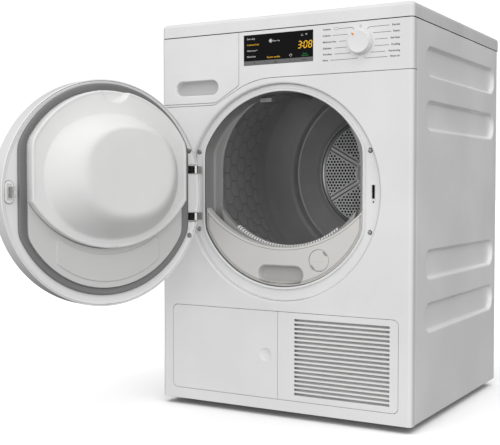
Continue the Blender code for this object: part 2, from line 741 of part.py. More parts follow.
# ---- Doorway ------------------------------------------------------------------------------------------
def mouth_outline():
    """The way into the drum: half a circle, straight sides and a hanging arc."""
    left = (-MOUTH_RADIUS, MOUTH_SHOULDER_Z)
    right = (MOUTH_RADIUS, MOUTH_SHOULDER_Z)
    return arc(0, MOUTH_Z, MOUTH_RADIUS, 0, 180, 26) + arc_between(left, MOUTH_BOTTOM_Z, right, 16)


def build_surround(look):
    """The white ring in the recess, with the raised lip, the tunnel and its back wall with the mouth."""
    plate_radius = RECESS_RADIUS - GAP
    surround = disc("door_surround", look, plate_radius, RECESS_DEPTH, RECESS_DEPTH + WALL,
                    (0, 0, RECESS_Z))
    cup = outline("surround_cup", None, [flat_sided(OPENING_Z, LIP_RADIUS, LIP_HALF_WIDTH)],
                  RECESS_DEPTH - LIP_HEIGHT, TUNNEL_DEPTH + WALL)
    join(surround, cup)
    tunnel = flat_sided(OPENING_Z, LIP_RADIUS - LIP_WIDTH, LIP_HALF_WIDTH - LIP_WIDTH)
    cut(surround, outline("surround_tunnel", None, [tunnel], -0.01, TUNNEL_DEPTH))
    cut(surround, outline("surround_mouth", None, [mouth_outline()], 0.01, TUNNEL_DEPTH + 0.01))
    half_slot = (LATCH_SLOT_WIDTH / 2, LATCH_SLOT_HEIGHT / 2)
    slots = [((LATCH_X - half_slot[0], 0, LATCH_Z - half_slot[1]),
              (LATCH_X + half_slot[0], 0.03, LATCH_Z + half_slot[1]))]
    for level in ARM_LEVELS:
        reach = ARM_HEIGHT / 2 + 0.001
        slots.append(((ARM_SHOULDER[0] - 0.0055, 0, level - reach),
                      (ARM_SHOULDER[0] + 0.0055, 0.03, level + reach)))
    cut(surround, blocks("surround_slots", None, *slots))
    for number, (x, z) in enumerate(RING_SCREWS):
        cut(surround, disc(f"ring_screw_bore_{number}", None, SCREW_SHANK_RADIUS + GAP, 0, 0.03, (x, 0, z),
                           steps=16))
    return surround


def screw(name, look, x, z, face, inward):
    """A raised-head screw whose head sits on the plane y = face. inward is 1 where it points to +Y."""
    head, shank = 0.0022, 0.0090
    radius = SCREW_HEAD_RADIUS
    profile = [(0.0, shank), (SCREW_SHANK_RADIUS, shank), (SCREW_SHANK_RADIUS, -GAP), (radius, -GAP),
               (radius, -GAP - head * 0.4), (radius * 0.7, -GAP - head), (0.0, -GAP - head)]
    if inward < 0:
        profile = [(reach, -height) for reach, height in reversed(profile)]
    return turned(name, look, profile, (x, face, z), steps=12, closed=False)


def build_ring_screws(look):
    names = ("ring_screw_upper_right", "ring_screw_lower_right", "ring_screw_upper_left",
             "ring_screw_lower_left")
    return [screw(name, look, x, z, RECESS_DEPTH, 1) for name, (x, z) in zip(names, RING_SCREWS)]


def build_hinge_bracket(look):
    """Steel plate behind the surround with two elbowed arms that reach into the door."""
    back = RECESS_DEPTH + WALL + GAP
    low, high = ARM_LEVELS[1] - 0.016, ARM_LEVELS[0] + 0.016
    plate_left = -(RECESS_RADIUS - 0.014)
    bracket = blocks("hinge_bracket", look, ((plate_left, back, low),
                                             (-LIP_HALF_WIDTH - 0.0008, back + 0.003, high)))
    route = [(HINGE_X, HINGE_Y), ARM_ELBOW, ARM_SHOULDER, (ARM_SHOULDER[0], back + 0.0015)]
    for number, level in enumerate(ARM_LEVELS):
        bottom, top = level - ARM_HEIGHT / 2, level + ARM_HEIGHT / 2
        arm = outline(f"arm_{number}", None, [ribbon(route, ARM_THICKNESS)], bottom + 0.0005, top - 0.0005,
                      "Z")
        eye = disc(f"arm_eye_{number}", None, HINGE_EYE_RADIUS, bottom, top, (HINGE_X, HINGE_Y, 0), "Z", 20)
        join(bracket, arm, eye)
        cut(bracket, disc(f"arm_bore_{number}", None, HINGE_PIN_RADIUS + RUNNING, bottom - 0.01, top + 0.01,
                          (HINGE_X, HINGE_Y, 0), "Z", 20))
    return bracket


def filter_outline(clearance):
    """The crescent that the filter fills between its hanging arc and the bottom of the tunnel."""
    side = LIP_HALF_WIDTH - LIP_WIDTH - clearance
    level = FILTER_ARC_Z - math.sqrt(FILTER_ARC_RADIUS ** 2 - side ** 2)
    reach = math.degrees(math.asin(side / FILTER_ARC_RADIUS))
    top = arc(0, FILTER_ARC_Z, FILTER_ARC_RADIUS, 270 + reach, 270 - reach, 30)
    radius = LIP_RADIUS - LIP_WIDTH - clearance
    corner = math.degrees(math.acos(side / radius))
    bottom = arc(0, OPENING_Z, radius, 180 + corner, 360 - corner, 40)
    assert level > OPENING_Z - radius
    return top + bottom


def build_filter(look, cap_look):
    front, rear = FILTER_FACE_Y, FILTER_FACE_Y + FILTER_BODY_DEPTH
    body = outline("filter_front", look, [filter_outline(FILTER_CLEARANCE)], front, rear)
    half_length, half_height = FILTER_GRIP_LENGTH / 2, FILTER_GRIP_HEIGHT / 2
    grip = stadium(FILTER_GRIP_X - half_length, FILTER_GRIP_X + half_length, FILTER_GRIP_Z - half_height,
                   FILTER_GRIP_Z + half_height)
    cut(body, outline("filter_grip", None, [grip], 0, front + FILTER_GRIP_DEPTH))
    cut(body, disc("cap_seat", None, CAP_RADIUS + 0.0006, 0, front + 0.010, (CAP_X, 0, CAP_Z), steps=36))
    profile = [(0.0, 0.0090), (CAP_RADIUS, 0.0090), (CAP_RADIUS, 0.0), (CAP_RADIUS - 0.002, -0.0008),
               (0.0, -0.0008)]
    cap = turned("fragrance_cap", cap_look, profile, (CAP_X, front, CAP_Z), steps=36, closed=False)
    return body, cap


def build_sieve(look):
    """Comb plate with the lint mesh behind the filter front, under the mouth's hanging arc."""
    front = FILTER_FACE_Y + FILTER_BODY_DEPTH + GAP
    side, bottom = MOUTH_RADIUS - 0.002, 0.300
    top = arc_between((-side, MOUTH_SHOULDER_Z - 0.002), MOUTH_BOTTOM_Z - 0.001,
                      (side, MOUTH_SHOULDER_Z - 0.002), 24)
    lower = arc_between((-0.150, 0.390), bottom, (0.150, 0.390), 16)
    shape = top + lower[::-1]
    sieve = outline("lint_sieve", look, [shape], front, front + SIEVE_THICKNESS)
    teeth = []
    for number in range(-8, 9):
        x = 0.0180 * number
        teeth.append(((x - 0.0022, front - 0.001, 0.318 + 1.35 * x * x),
                      (x + 0.0022, front + 0.0035, 0.346 + 2.2 * x * x)))
    return cut(sieve, blocks("comb_slots", None, *teeth))


# ---- Door ---------------------------------------------------------------------------------------------
def arm_notches(name, front):
    """Room for the hinge arms at every door angle, from the plane y = front to behind the door."""
    reach = ARM_HEIGHT / 2 + 0.0020
    boxes = [((-0.250, front, level - reach), (ARM_ELBOW[0] + 0.0060, 0.020,
                                               level + reach)) for level in ARM_LEVELS]
    return blocks(name, None, *boxes)


def build_door_shell(look):
    """Outer dish of the door, with a finger recess in its side opposite the hinge."""
    radius, edge, face = DOOR_RADIUS, DOOR_EDGE_RADIUS, DOOR_FACE_Y
    corner = arc(radius - edge, face + edge, edge, 360, 270, 5)
    inner = arc(radius - edge, face + edge, edge - WALL, 270, 360, 4)
    profile = [(0.0, face + WALL), *inner, (radius - WALL, DOOR_RIM_Y), (radius, DOOR_RIM_Y), *corner,
               (0.0, face)]
    shell = turned("door_outer_shell", look, profile, (0, 0, DOOR_Z), closed=False)
    cut(shell, arm_notches("shell_notches", HINGE_Y - 0.0068))
    return shell


def build_door_frame(look):
    """Inner frame of the door: the flat ring that carries the seal, hinge and latch."""
    frame = disc("door_inner_frame", look, DOOR_RADIUS - WALL - GAP, -0.0035, -0.0003, (0, 0, DOOR_Z))
    hollow = flat_sided(SEAL_Z, SEAL_INNER_RADIUS - 0.006, SEAL_INNER_HALF - 0.006)
    cut(frame, outline("frame_hollow", None, [hollow], -0.02, 0.02))
    cut(frame, arm_notches("frame_notches", HINGE_Y))
    plate = ((LATCH_X - 0.0045, -0.01, LATCH_Z - 0.0150), (LATCH_X + 0.0045, 0.01, LATCH_Z + 0.0150))
    cut(frame, blocks("frame_latch_slot", None, plate))
    for number, z in enumerate(door_screw_levels()):
        cut(frame, disc(f"door_screw_bore_{number}", None, SCREW_SHANK_RADIUS + GAP, -0.01, 0.01,
                        (DOOR_SCREW_X, 0, z),
                        steps=16))
    return frame


def door_screw_levels():
    middle = (ARM_LEVELS[0] + ARM_LEVELS[1]) / 2
    return middle + 0.0905, middle - 0.0905


def build_door_seal(look):
    outer = flat_sided(SEAL_Z, SEAL_OUTER_RADIUS, SEAL_OUTER_HALF)
    inner = flat_sided(SEAL_Z, SEAL_INNER_RADIUS, SEAL_INNER_HALF)
    seal = outline("door_seal", look, [outer, inner], 0.0, RECESS_DEPTH - LIP_HEIGHT - GAP)
    return round_edges(seal, 0.0015, 1, 60)


def bowl_plate_outline(inset):
    """The plate that carries the bowl: the seal's inside above, a hanging arc below."""
    radius, half = SEAL_INNER_RADIUS - SEAL_GAP - inset, SEAL_INNER_HALF - SEAL_GAP - inset
    corner = math.degrees(math.acos(half / radius))
    top = arc(0, SEAL_Z, radius, corner, 180 - corner, 30)
    lift = inset
    hang = arc_between((-half, BOWL_PLATE_CORNER_Z + lift), BOWL_PLATE_BOTTOM_Z + lift,
                       (half, BOWL_PLATE_CORNER_Z + lift), 24)
    return top + hang


def bowl_dome(name, shrink, lift):
    """An oval dome turned from a profile and pressed to the bowl's width and height."""
    tip, rise = BOWL_TIP_SCALE, BOWL_TIP_Y - BOWL_PLATE_Y + 0.006
    side = arc(tip, 0.0, 1.0 - tip, 0, 90, 5)
    profile = [(0.0, 1.0), (tip * 0.6, 0.995)] + [(r, h / (1.0 - tip) * 0.97) for r,
                                                  h in side[::-1]] + [(0.0, 0.0)]
    dome = turned(name, None, profile, (0, 0, 0), "Z", 32, closed=False)
    bpy.context.view_layer.update()
    solid = dome.evaluated_get(bpy.context.evaluated_depsgraph_get())
    data = bpy.data.meshes.new_from_object(solid)
    bpy.data.objects.remove(dome, do_unlink=True)
    made = put(name, data)
    wide, tall = BOWL_BASE_X - shrink, BOWL_BASE_Z - shrink
    turn = Matrix.Rotation(math.radians(-90), 4, "X")
    place = Matrix.Translation((0, BOWL_PLATE_Y - 0.006 - lift, BOWL_CENTRE_Z))
    data.transform(place @ turn @ Matrix.Diagonal((wide, tall, rise, 1.0)))
    return made


def build_door_bowl(look):
    bowl = outline("door_bowl", look, [bowl_plate_outline(0.0)], GAP, BOWL_PLATE_Y)
    join(bowl, bowl_dome("bowl_dome", 0.0, 0.0))
    cut(bowl, outline("bowl_back", None, [bowl_plate_outline(0.0025)], -0.02, BOWL_PLATE_Y - 0.0025))
    return cut(bowl, bowl_dome("bowl_hollow", 0.0028, 0.0028))


def build_lower_panel(look):
    """The lower inner panel of the door, under the bowl plate, with its raised pad."""
    radius, half = SEAL_INNER_RADIUS - SEAL_GAP, SEAL_INNER_HALF - SEAL_GAP
    corner = math.degrees(math.acos(half / radius))
    under = SEAM
    hang = arc_between((-half, BOWL_PLATE_CORNER_Z - under), BOWL_PLATE_BOTTOM_Z - under,
                       (half, BOWL_PLATE_CORNER_Z - under), 24)
    bottom = arc(0, SEAL_Z, radius, 360 - corner, 180 + corner, 30)
    panel = outline("door_lower_panel", look, [hang + bottom], GAP, LOWER_PANEL_Y)
    pad_low = arc(0, SEAL_Z, radius - 0.012, 270 + 34, 270 - 34, 16)
    inset = 0.012
    pad_top = arc_between((-PAD_HALF_WIDTH, PAD_TOP_Z), BOWL_PLATE_BOTTOM_Z - inset,
                          (PAD_HALF_WIDTH, PAD_TOP_Z), 12)
    pad = outline("lower_pad", None, [pad_top + pad_low], LOWER_PANEL_Y / 2, LOWER_PANEL_Y + 0.0015)
    join(panel, pad)
    back = outline("lower_back", None, [[(x * 0.975, SEAL_Z + (z - SEAL_Z) * 0.975) for x,
                                         z in hang + bottom]], -0.02,
                   LOWER_PANEL_Y - 0.0025)
    return cut(panel, back)


def build_hinge_block(look):
    """The door's half of the hinge: a block between the arms, with the pin through it and both eyes."""
    low, high = ARM_LEVELS[1] + ARM_HEIGHT / 2 + GAP * 3, ARM_LEVELS[0] - ARM_HEIGHT / 2 - GAP * 3
    lug = blocks("door_hinge_block", look, ((HINGE_X - 0.0030, HINGE_Y - 0.0036, low),
                                            (HINGE_X + 0.0080, HINGE_Y + 0.0060, high)))
    reach = ARM_HEIGHT + 0.0010
    return join(lug, disc("hinge_pin", None, HINGE_PIN_RADIUS, low - reach, high + reach,
                          (HINGE_X, HINGE_Y, 0), "Z", 20))


def build_door_screws(look):
    names = ("door_screw_upper", "door_screw_lower")
    return [screw(name, look, DOOR_SCREW_X, z, -0.0003 + 2 * GAP, -1) for name,
            z in zip(names, door_screw_levels())]


def build_latch(hook_look, plate_look):
    """The sprung hook and the plate that it comes out of."""
    shape = stadium(LATCH_Z - 0.0215, LATCH_Z + 0.0215, LATCH_X - 0.0085, LATCH_X + 0.0085)
    upright = [(z, x) for x, z in shape]
    slot = rounded_box(LATCH_X - 0.0040, LATCH_X + 0.0040, LATCH_Z - 0.0145, LATCH_Z + 0.0145, 0.001,
                       count=3)
    plate = outline("latch_plate", plate_look, [upright, slot], 0.0, 0.0020)
    length = HOOK_REACH - HOOK_PIVOT_Y
    barb = [(-0.0012, 0.0), (0.0012, 0.0), (0.0012, length - 0.006), (0.0030, length - 0.006),
            (0.0012, length),
            (-0.0012, length)]
    hook = outline("latch_hook", hook_look, [[(LATCH_X + x, HOOK_PIVOT_Y + y) for x, y in barb]],
                   LATCH_Z - 0.0115,
                   LATCH_Z + 0.0115, "Z")
    join(hook, disc("hook_barrel", None, 0.0032, LATCH_Z - 0.0115, LATCH_Z + 0.0115,
                    (LATCH_X, HOOK_PIVOT_Y, 0), "Z", 16))
    return hook, plate


# ---- Drum and running gear ----------------------------------------------------------------------------
def build_drum(look, back_look, rib_look):
    radius, wall = DRUM_RADIUS, DRUM_WALL
    start, end = DRUM_REAR - DRUM_SHOULDER_START, DRUM_REAR - DRUM_SHOULDER_END
    rear = DRUM_REAR - 0.001
    inside = [(DRUM_MOUTH_RADIUS, DRUM_FRONT + wall), (radius, DRUM_FRONT + 0.004), (radius, start),
              (STEP_RADIUS + 0.006, end), (STEP_RADIUS - 0.002, rear), (BACK_RADIUS + 0.002, rear)]
    outside = [(BACK_RADIUS + 0.002, rear + wall), (STEP_RADIUS - 0.001, rear + wall),
               (STEP_RADIUS + 0.007, end + 0.0008), (radius + wall, start + 0.0003),
               (radius + wall, DRUM_FRONT + 0.0035), (DRUM_MOUTH_RADIUS, DRUM_FRONT)]
    shell = turned("drum_shell", look, inside + outside, (0, 0, DRUM_Z))
    back = build_drum_back(back_look)
    return [shell, back, *build_ribs(rib_look)]


def build_drum_back(look):
    """Rear disc of the drum with its hub, shaft, six radial ridges and the air holes between them."""
    plate = DRUM_REAR - 0.0045
    profile = [(0.0, DRUM_SHAFT_END), (DRUM_SHAFT_RADIUS, DRUM_SHAFT_END),
               (DRUM_SHAFT_RADIUS, DRUM_REAR - 0.001),
               (BACK_RADIUS, DRUM_REAR - 0.001), (BACK_RADIUS, plate), (0.042, plate),
               (0.036, plate - 0.012), (0.020, plate - 0.018), (0.0, plate - 0.019)]
    back = turned("drum_back", look, profile, (0, 0, DRUM_Z), closed=False)
    for number in range(6):
        angle = math.radians(30 + 60 * number)
        ridge = blocks(f"back_ridge_{number}", None, ((0.030, plate - 0.004, -0.0035),
                                                      (BACK_RADIUS - 0.008, plate + 0.002, 0.0035)))
        ridge.location = (0, 0, DRUM_Z)
        ridge.rotation_euler.y = -angle
        join(back, ridge)
        for place, size in ((0.108, 0.020),):
            middle = angle + math.radians(30)
            x, z = place * math.cos(middle), place * math.sin(middle)
            cut(back, disc(f"air_hole_{number}_{int(place * 1000)}", None, size, 0.4, 0.6,
                           (x, 0, DRUM_Z + z), steps=12))
    return back


def build_ribs(look):
    ribs = []
    half, top = 0.026, 0.012
    base = math.sqrt(DRUM_RADIUS ** 2 - half ** 2) - 0.0006
    for number, angle in enumerate(RIB_ANGLES):
        crest = base - RIB_HEIGHT
        section = [(base, -half), (base, half), (base - RIB_HEIGHT * 0.55, top * 1.15),
                   *arc(crest + 0.008, 0, 0.009, 110, 250, 6),
                   (base - RIB_HEIGHT * 0.55, -top * 1.15)]
        rib = outline(f"drum_rib_{number + 1}", look, [section], RIB_FRONT, RIB_REAR)
        rib.location.z = DRUM_Z
        rib.rotation_euler = (Matrix.Rotation(math.radians(-angle), 3,
                                              "Y") @ rib.rotation_euler.to_matrix()).to_euler()
        ribs.append(rib)
    return ribs


def build_drum_seats(felt, metal, plastic):
    """What the drum runs in: felt ring, bulkhead with the roller axles, and rear duct with the bearing."""
    ring_look = turned("drum_front_felt", felt, ring(DRUM_MOUTH_RADIUS + 0.002, DRUM_MOUTH_RADIUS + 0.014,
                                                     TUNNEL_DEPTH + WALL + GAP, DRUM_FRONT - GAP),
                       (0, 0, DRUM_Z))
    plate = arc(0, DRUM_Z, DRUM_RADIUS - 0.0025, -35, 215, 30) + [(-0.200, 0.236), (0.200, 0.236)]
    hole = circle(0, DRUM_Z, DRUM_MOUTH_RADIUS + 0.017, 36)
    bulkhead = outline("front_bulkhead", metal, [plate, hole], BULKHEAD_Y, BULKHEAD_Y + 0.0020)
    for number, (x, z) in enumerate(roller_places()):
        axle = (x, 0, z)
        start, end = BULKHEAD_Y + 0.001, ROLLER_Y + ROLLER_WIDTH + 0.004
        join(bulkhead, disc(f"roller_axle_{number}", None, ROLLER_AXLE_RADIUS, start, end, axle, steps=12),
             disc(f"axle_shoulder_{number}", None, ROLLER_AXLE_RADIUS + 0.004, start, ROLLER_Y - GAP, axle,
                  steps=12))
    front, rear, bore = DRUM_REAR + DRUM_WALL + 0.0015, DUCT_REAR, DRUM_SHAFT_RADIUS + RUNNING
    profile = [(bore, rear - 0.016), (bore + 0.010, rear - 0.016), (bore + 0.010, rear - DUCT_WALL),
               (DUCT_RADIUS - DUCT_WALL, rear - DUCT_WALL), (DUCT_RADIUS - DUCT_WALL, front),
               (DUCT_RADIUS, front),
               (DUCT_RADIUS, rear), (bore, rear)]
    duct = turned("rear_air_duct", plastic, profile[::-1], (0, 0, DRUM_Z), steps=32)
    return ring_look, bulkhead, duct


def roller_places():
    reach = DRUM_RADIUS + DRUM_WALL + ROLLER_RADIUS + GAP
    angle = math.radians(ROLLER_ANGLE_DEG)
    return [(side * reach * math.sin(angle), DRUM_Z - reach * math.cos(angle)) for side in (-1, 1)]


def build_rollers(look):
    section = ring(ROLLER_AXLE_RADIUS + RUNNING, ROLLER_RADIUS, 0, ROLLER_WIDTH)
    names = ("support_roller_left", "support_roller_right")
    return [turned(name, look, section, (x, ROLLER_Y, z), steps=24) for name,
            (x, z) in zip(names, roller_places())]


def belt_tangents(drum_radius, pulley_radius):
    """Angle from the drum's axis to the pulley's, and how far each belt run leans from it, in degrees."""
    gap_x, gap_z = MOTOR_X, MOTOR_Z - DRUM_Z
    distance = math.hypot(gap_x, gap_z)
    along = math.degrees(math.atan2(gap_z, gap_x))
    lean = math.degrees(math.acos((drum_radius - pulley_radius) / distance))
    return along, lean


def belt_path(offset):
    """Closed belt line round drum and pulley, offset outwards from their surfaces."""
    big = DRUM_RADIUS + DRUM_WALL + offset
    small = MOTOR_PULLEY_RADIUS + offset
    along, lean = belt_tangents(big, small)
    round_drum = arc(0, DRUM_Z, big, along + lean, along - lean + 360, 48)
    round_pulley = arc(MOTOR_X, MOTOR_Z, small, along - lean, along + lean, 12)
    return round_drum + round_pulley


def build_belt(look):
    return outline("drum_belt", look, [belt_path(BELT_GAP + BELT_THICKNESS), belt_path(BELT_GAP)], BELT_Y,
                   BELT_Y + BELT_WIDTH)


def build_motor(metal, dark, plastic):
    centre = (MOTOR_X, 0, MOTOR_Z)
    stator = disc("motor_stator", dark, MOTOR_RADIUS, MOTOR_FRONT, MOTOR_REAR, centre, steps=36)
    floor = CABINET_BOTTOM + 0.002 + WALL + GAP
    join(stator, blocks("motor_stand", None, ((MOTOR_X - 0.034, MOTOR_FRONT + 0.005, floor),
                                              (MOTOR_X + 0.034, MOTOR_REAR - 0.005, MOTOR_Z - 0.030))))
    cut(stator, disc("stator_bore", None, MOTOR_BORE_RADIUS, MOTOR_FRONT - 0.01, MOTOR_REAR + 0.01, centre,
                     steps=SMALL_STEPS))
    flange, front, rear = MOTOR_PULLEY_RADIUS + 0.004, BELT_Y - GAP, BELT_Y + BELT_WIDTH + GAP
    end = FAN_REAR - 0.018
    profile = [(0.0, end), (MOTOR_SHAFT_RADIUS, end), (MOTOR_SHAFT_RADIUS, rear + 0.002),
               (flange, rear + 0.002),
               (flange, rear), (MOTOR_PULLEY_RADIUS, rear), (MOTOR_PULLEY_RADIUS, front), (flange, front),
               (flange, front - 0.002), (0.0, front - 0.002)]
    shaft = turned("motor_shaft", metal, profile, centre, steps=20, closed=False)
    return stator, shaft, build_impeller(plastic, centre)


def build_impeller(look, centre):
    """Back plate with a star of straight vanes round a bored hub."""
    rear = FAN_REAR - 0.012
    shape = []
    for number in range(IMPELLER_VANES):
        angle = 360 / IMPELLER_VANES * number
        shape += arc(0, 0, IMPELLER_RADIUS, angle - 1.2, angle + 1.2, 2)
        shape += arc(0, 0, 0.024, angle + 4.0, angle + 360 / IMPELLER_VANES - 4.0, 2)
    vanes = outline("fan_impeller", look, [shape], FAN_FRONT + 0.012, rear - 0.001)
    vanes.location = (centre[0], vanes.location.y, centre[2])
    join(vanes, disc("impeller_plate", None, IMPELLER_RADIUS, rear - 0.003, rear, centre, steps=36))
    return cut(vanes, disc("impeller_bore", None, MOTOR_SHAFT_RADIUS + GAP, 0.3, 0.6, centre,
                           steps=SMALL_STEPS))


# ---- Heat pump ----------------------------------------------------------------------------------------
def finned(name, look, front, rear):
    """A heat exchanger: a frame with upright fins and air slots between them."""
    core = blocks(name, look, ((HEAT_LEFT, front, HEAT_BOTTOM), (HEAT_RIGHT, rear, HEAT_TOP)))
    pitch = (HEAT_RIGHT - HEAT_LEFT - FIN_THICKNESS) / (FIN_COUNT - 1)
    slots = []
    for number in range(FIN_COUNT - 1):
        left = HEAT_LEFT + FIN_THICKNESS + pitch * number
        slots.append(((left, front - 0.01, HEAT_BOTTOM + HEAT_FRAME),
                      (left + pitch - FIN_THICKNESS, rear + 0.01, HEAT_TOP - HEAT_FRAME)))
    return cut(core, blocks(f"{name}_slots", None, *slots))


def build_heat_pump(fin_look, steel, foam):
    evaporator = finned("evaporator", fin_look, EVAPORATOR_FRONT, CONDENSER_FRONT - HEAT_GAP)
    condenser = finned("condenser", fin_look, CONDENSER_FRONT, CONDENSER_REAR)
    plinth = blocks("plinth_filter", foam, ((-0.240, 0.0120, 0.064), (-0.032, 0.0250, 0.205)))
    base = CABINET_BOTTOM + 0.002 + WALL + GAP
    radius = COMPRESSOR_RADIUS
    body = [(0.0, 0.205), (radius - 0.020, 0.200), (radius, 0.175), (radius, 0.065),
            (radius - 0.016, 0.050),
            (radius - 0.016, base + 0.003), (radius + 0.010, base + 0.003), (radius + 0.010, base),
            (0.0, base)]
    place = (COMPRESSOR_X, COMPRESSOR_Y, 0)
    compressor = turned("compressor", steel, body, place, "Z", 24, closed=False)
    return evaporator, condenser, plinth, compressor


def build_inlet(look):
    front = REAR_PANEL_Y + SHEET + GAP
    rear = front + INLET_DEPTH
    inlet = blocks("mains_inlet", look, ((INLET_LEFT, front, INLET_BOTTOM), (INLET_RIGHT, rear, INLET_TOP)))
    wall = INLET_WALL
    return cut(inlet, blocks("inlet_socket", None, ((INLET_LEFT + wall, front + 0.0035,
                                                     INLET_BOTTOM + wall),
                                                    (INLET_RIGHT - wall, rear + 0.010, INLET_TOP - wall))))


def build_lamp(look):
    face = OPENING_Z + LIP_RADIUS - LIP_WIDTH
    return blocks("drum_lamp", look, ((-0.060, BOWL_PLATE_Y + 0.0016, face - 0.0190),
                                      (-0.032, TUNNEL_DEPTH - 2 * GAP, face - 0.0105)))


# ---- Assembly -----------------------------------------------------------------------------------------
def footprint_centre():
    """Middle of the floor area under the cabinet and the open door."""
    angle = math.radians(DOOR_OPEN_DEG)
    across, along = DOOR_RADIUS - DOOR_EDGE_RADIUS - HINGE_X, DOOR_FACE_Y + DOOR_EDGE_RADIUS - HINGE_Y
    left = HINGE_X + across * math.cos(angle) + along * math.sin(angle) - DOOR_EDGE_RADIUS
    across, along = DOOR_RADIUS - HINGE_X, DOOR_RIM_Y - HINGE_Y
    front = HINGE_Y - across * math.sin(angle) + along * math.cos(angle)
    return (left + HALF_WIDTH) / 2, (front + LID_DEPTH) / 2


def looks():
    return {
        "white": material("white_enamel", (0.86, 0.86, 0.85), 0.28),
        "steel_white": material("white_steel", (0.84, 0.84, 0.83), 0.32),
        "glass": material("black_glass", (0.012, 0.012, 0.014), 0.06),
        "keys": material("key_grey", (0.24, 0.24, 0.24), 0.35),
        "board": material("board_green", (0.05, 0.18, 0.09), 0.5),
        "chrome": material("chrome", (0.75, 0.75, 0.76), 0.12, 1.0),
        "steel": material("brushed_steel", (0.45, 0.45, 0.46), 0.32, 1.0),
        "drum": material("drum_steel", (0.30, 0.30, 0.30), 0.34, 1.0),
        "rubber": material("seal_rubber", (0.26, 0.26, 0.26), 0.6),
        "filter": material("filter_plastic", (0.60, 0.59, 0.57), 0.42),
        "grey": material("grey_plastic", (0.42, 0.42, 0.43), 0.5),
        "black": material("black_plastic", (0.03, 0.03, 0.03), 0.55),
        "dark": material("dark_metal", (0.10, 0.10, 0.11), 0.45, 0.6),
        "fins": material("fin_aluminium", (0.70, 0.71, 0.72), 0.35, 1.0),
        "foam": material("foam", (0.16, 0.16, 0.17), 0.9),
        "felt": material("felt", (0.35, 0.34, 0.32), 0.95),
        "lens": material("lamp_lens", (0.85, 0.86, 0.84), 0.1),
    }


def main():
    clear_scene()
    look = looks()
    root = empty("dryer_frame", (0, 0, 0))
    build_cabinet(root, look)
    build_doorway(root, look)
    build_door(root, look)
    build_works(root, look)
    shift = footprint_centre()
    root.location = (-shift[0], -shift[1], 0)
    for piece in bpy.data.collections[PARTS].objects:
        if piece.type == "MESH" and piece.data.polygons:
            piece.data.shade_smooth()
            piece.data.set_sharp_from_angle(angle=math.radians(35))
    follow_parents()


def follow_parents():
    """Cutters move with the piece that they cut."""
    for piece in list(bpy.data.collections[PARTS].objects):
        if piece.type == "EMPTY" or piece.parent is None:
            continue
        for step in piece.modifiers:
            if step.type == "BOOLEAN" and step.object.parent is None:
                hold(piece.parent, step.object)


def build_cabinet(root, look):
    hold(root, build_front_panel(look["white"]))
    hold(root, build_fascia(look["white"]))
    hold(root, *build_display(look["glass"], look["keys"], look["board"]))
    hold(root, build_lid(look["white"]))
    hold(root, build_side("side_panel_left", -1, look["steel_white"]))
    hold(root, build_side("side_panel_right", 1, look["steel_white"]))
    hold(root, *build_rear(look["steel"]))
    hold(root, build_base(look["grey"]))
    hold(root, build_grille(look["white"]))
    hold(root, build_inlet(look["black"]))
    knob = empty("knob_axis", (KNOB_X, 0, KNOB_Z), root)
    hold(knob, build_knob(look["white"]))
    flap = empty("flap_axis", (-HATCH_HALF_WIDTH + HATCH_GAP, 0, HATCH_BOTTOM), root)
    hold(flap, build_flap(look["white"]))
    for foot, (x, y) in zip(build_feet(look["black"]), foot_places()):
        hold(empty(f"{foot.name}_axis", (x, y, 0), root), foot)
    tank, tray = build_container(look["grey"], look["steel"])
    hold(root, tray)
    drawer = empty("container_slide", (CONTAINER_SEAM_X, 0, CONTAINER_SEAM_Z), root)
    hold(drawer, build_container_front(look["white"]), tank)


def build_doorway(root, look):
    hold(root, build_surround(look["white"]), *build_ring_screws(look["chrome"]))
    hold(root, build_hinge_bracket(look["chrome"]))
    hold(root, build_lamp(look["lens"]))
    body, cap = build_filter(look["filter"], look["filter"])
    slide = empty("filter_slide", (0, FILTER_FACE_Y, MOUTH_BOTTOM_Z), root)
    hold(slide, body)
    hold(empty("cap_axis", (CAP_X, FILTER_FACE_Y, CAP_Z), slide), cap)
    hold(empty("sieve_slide", (0, FILTER_FACE_Y + FILTER_BODY_DEPTH, MOUTH_BOTTOM_Z), slide),
         build_sieve(look["filter"]))


def build_door(root, look):
    axis = empty("door_axis", (HINGE_X, HINGE_Y, DOOR_Z), root, -DOOR_OPEN_DEG)
    hold(axis, build_door_shell(look["white"]), build_door_frame(look["white"]))
    hold(axis, build_door_seal(look["rubber"]))
    hold(axis, build_door_bowl(look["white"]), build_lower_panel(look["white"]))
    hold(axis, build_hinge_block(look["dark"]))
    hold(axis, *build_door_screws(look["steel"]))
    hook, plate = build_latch(look["chrome"], look["white"])
    hold(axis, plate)
    hold(empty("hook_axis", (LATCH_X, HOOK_PIVOT_Y, LATCH_Z), axis), hook)


def build_works(root, look):
    drum = empty("drum_axis", (0, DRUM_FRONT, DRUM_Z), root)
    hold(drum, *build_drum(look["drum"], look["steel"], look["drum"]))
    hold(root, *build_drum_seats(look["felt"], look["steel"], look["grey"]))
    for roller in build_rollers(look["rubber"]):
        hold(empty(f"{roller.name}_axis", tuple(roller.location), root), roller)
    hold(root, build_belt(look["black"]))
    stator, shaft, impeller = build_motor(look["steel"], look["dark"], look["grey"])
    hold(root, stator)
    hold(empty("motor_axis", (MOTOR_X, MOTOR_FRONT, MOTOR_Z), root), shaft, impeller)
    hold(root, *build_heat_pump(look["fins"], look["dark"], look["foam"]))


main()
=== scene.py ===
"""Looks for the clothes dryer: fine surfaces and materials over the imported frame, soft studio light."""
import json
import math

import bmesh
import bpy
import numpy as np
from mathutils import Matrix, Vector
from mathutils.geometry import tessellate_polygon

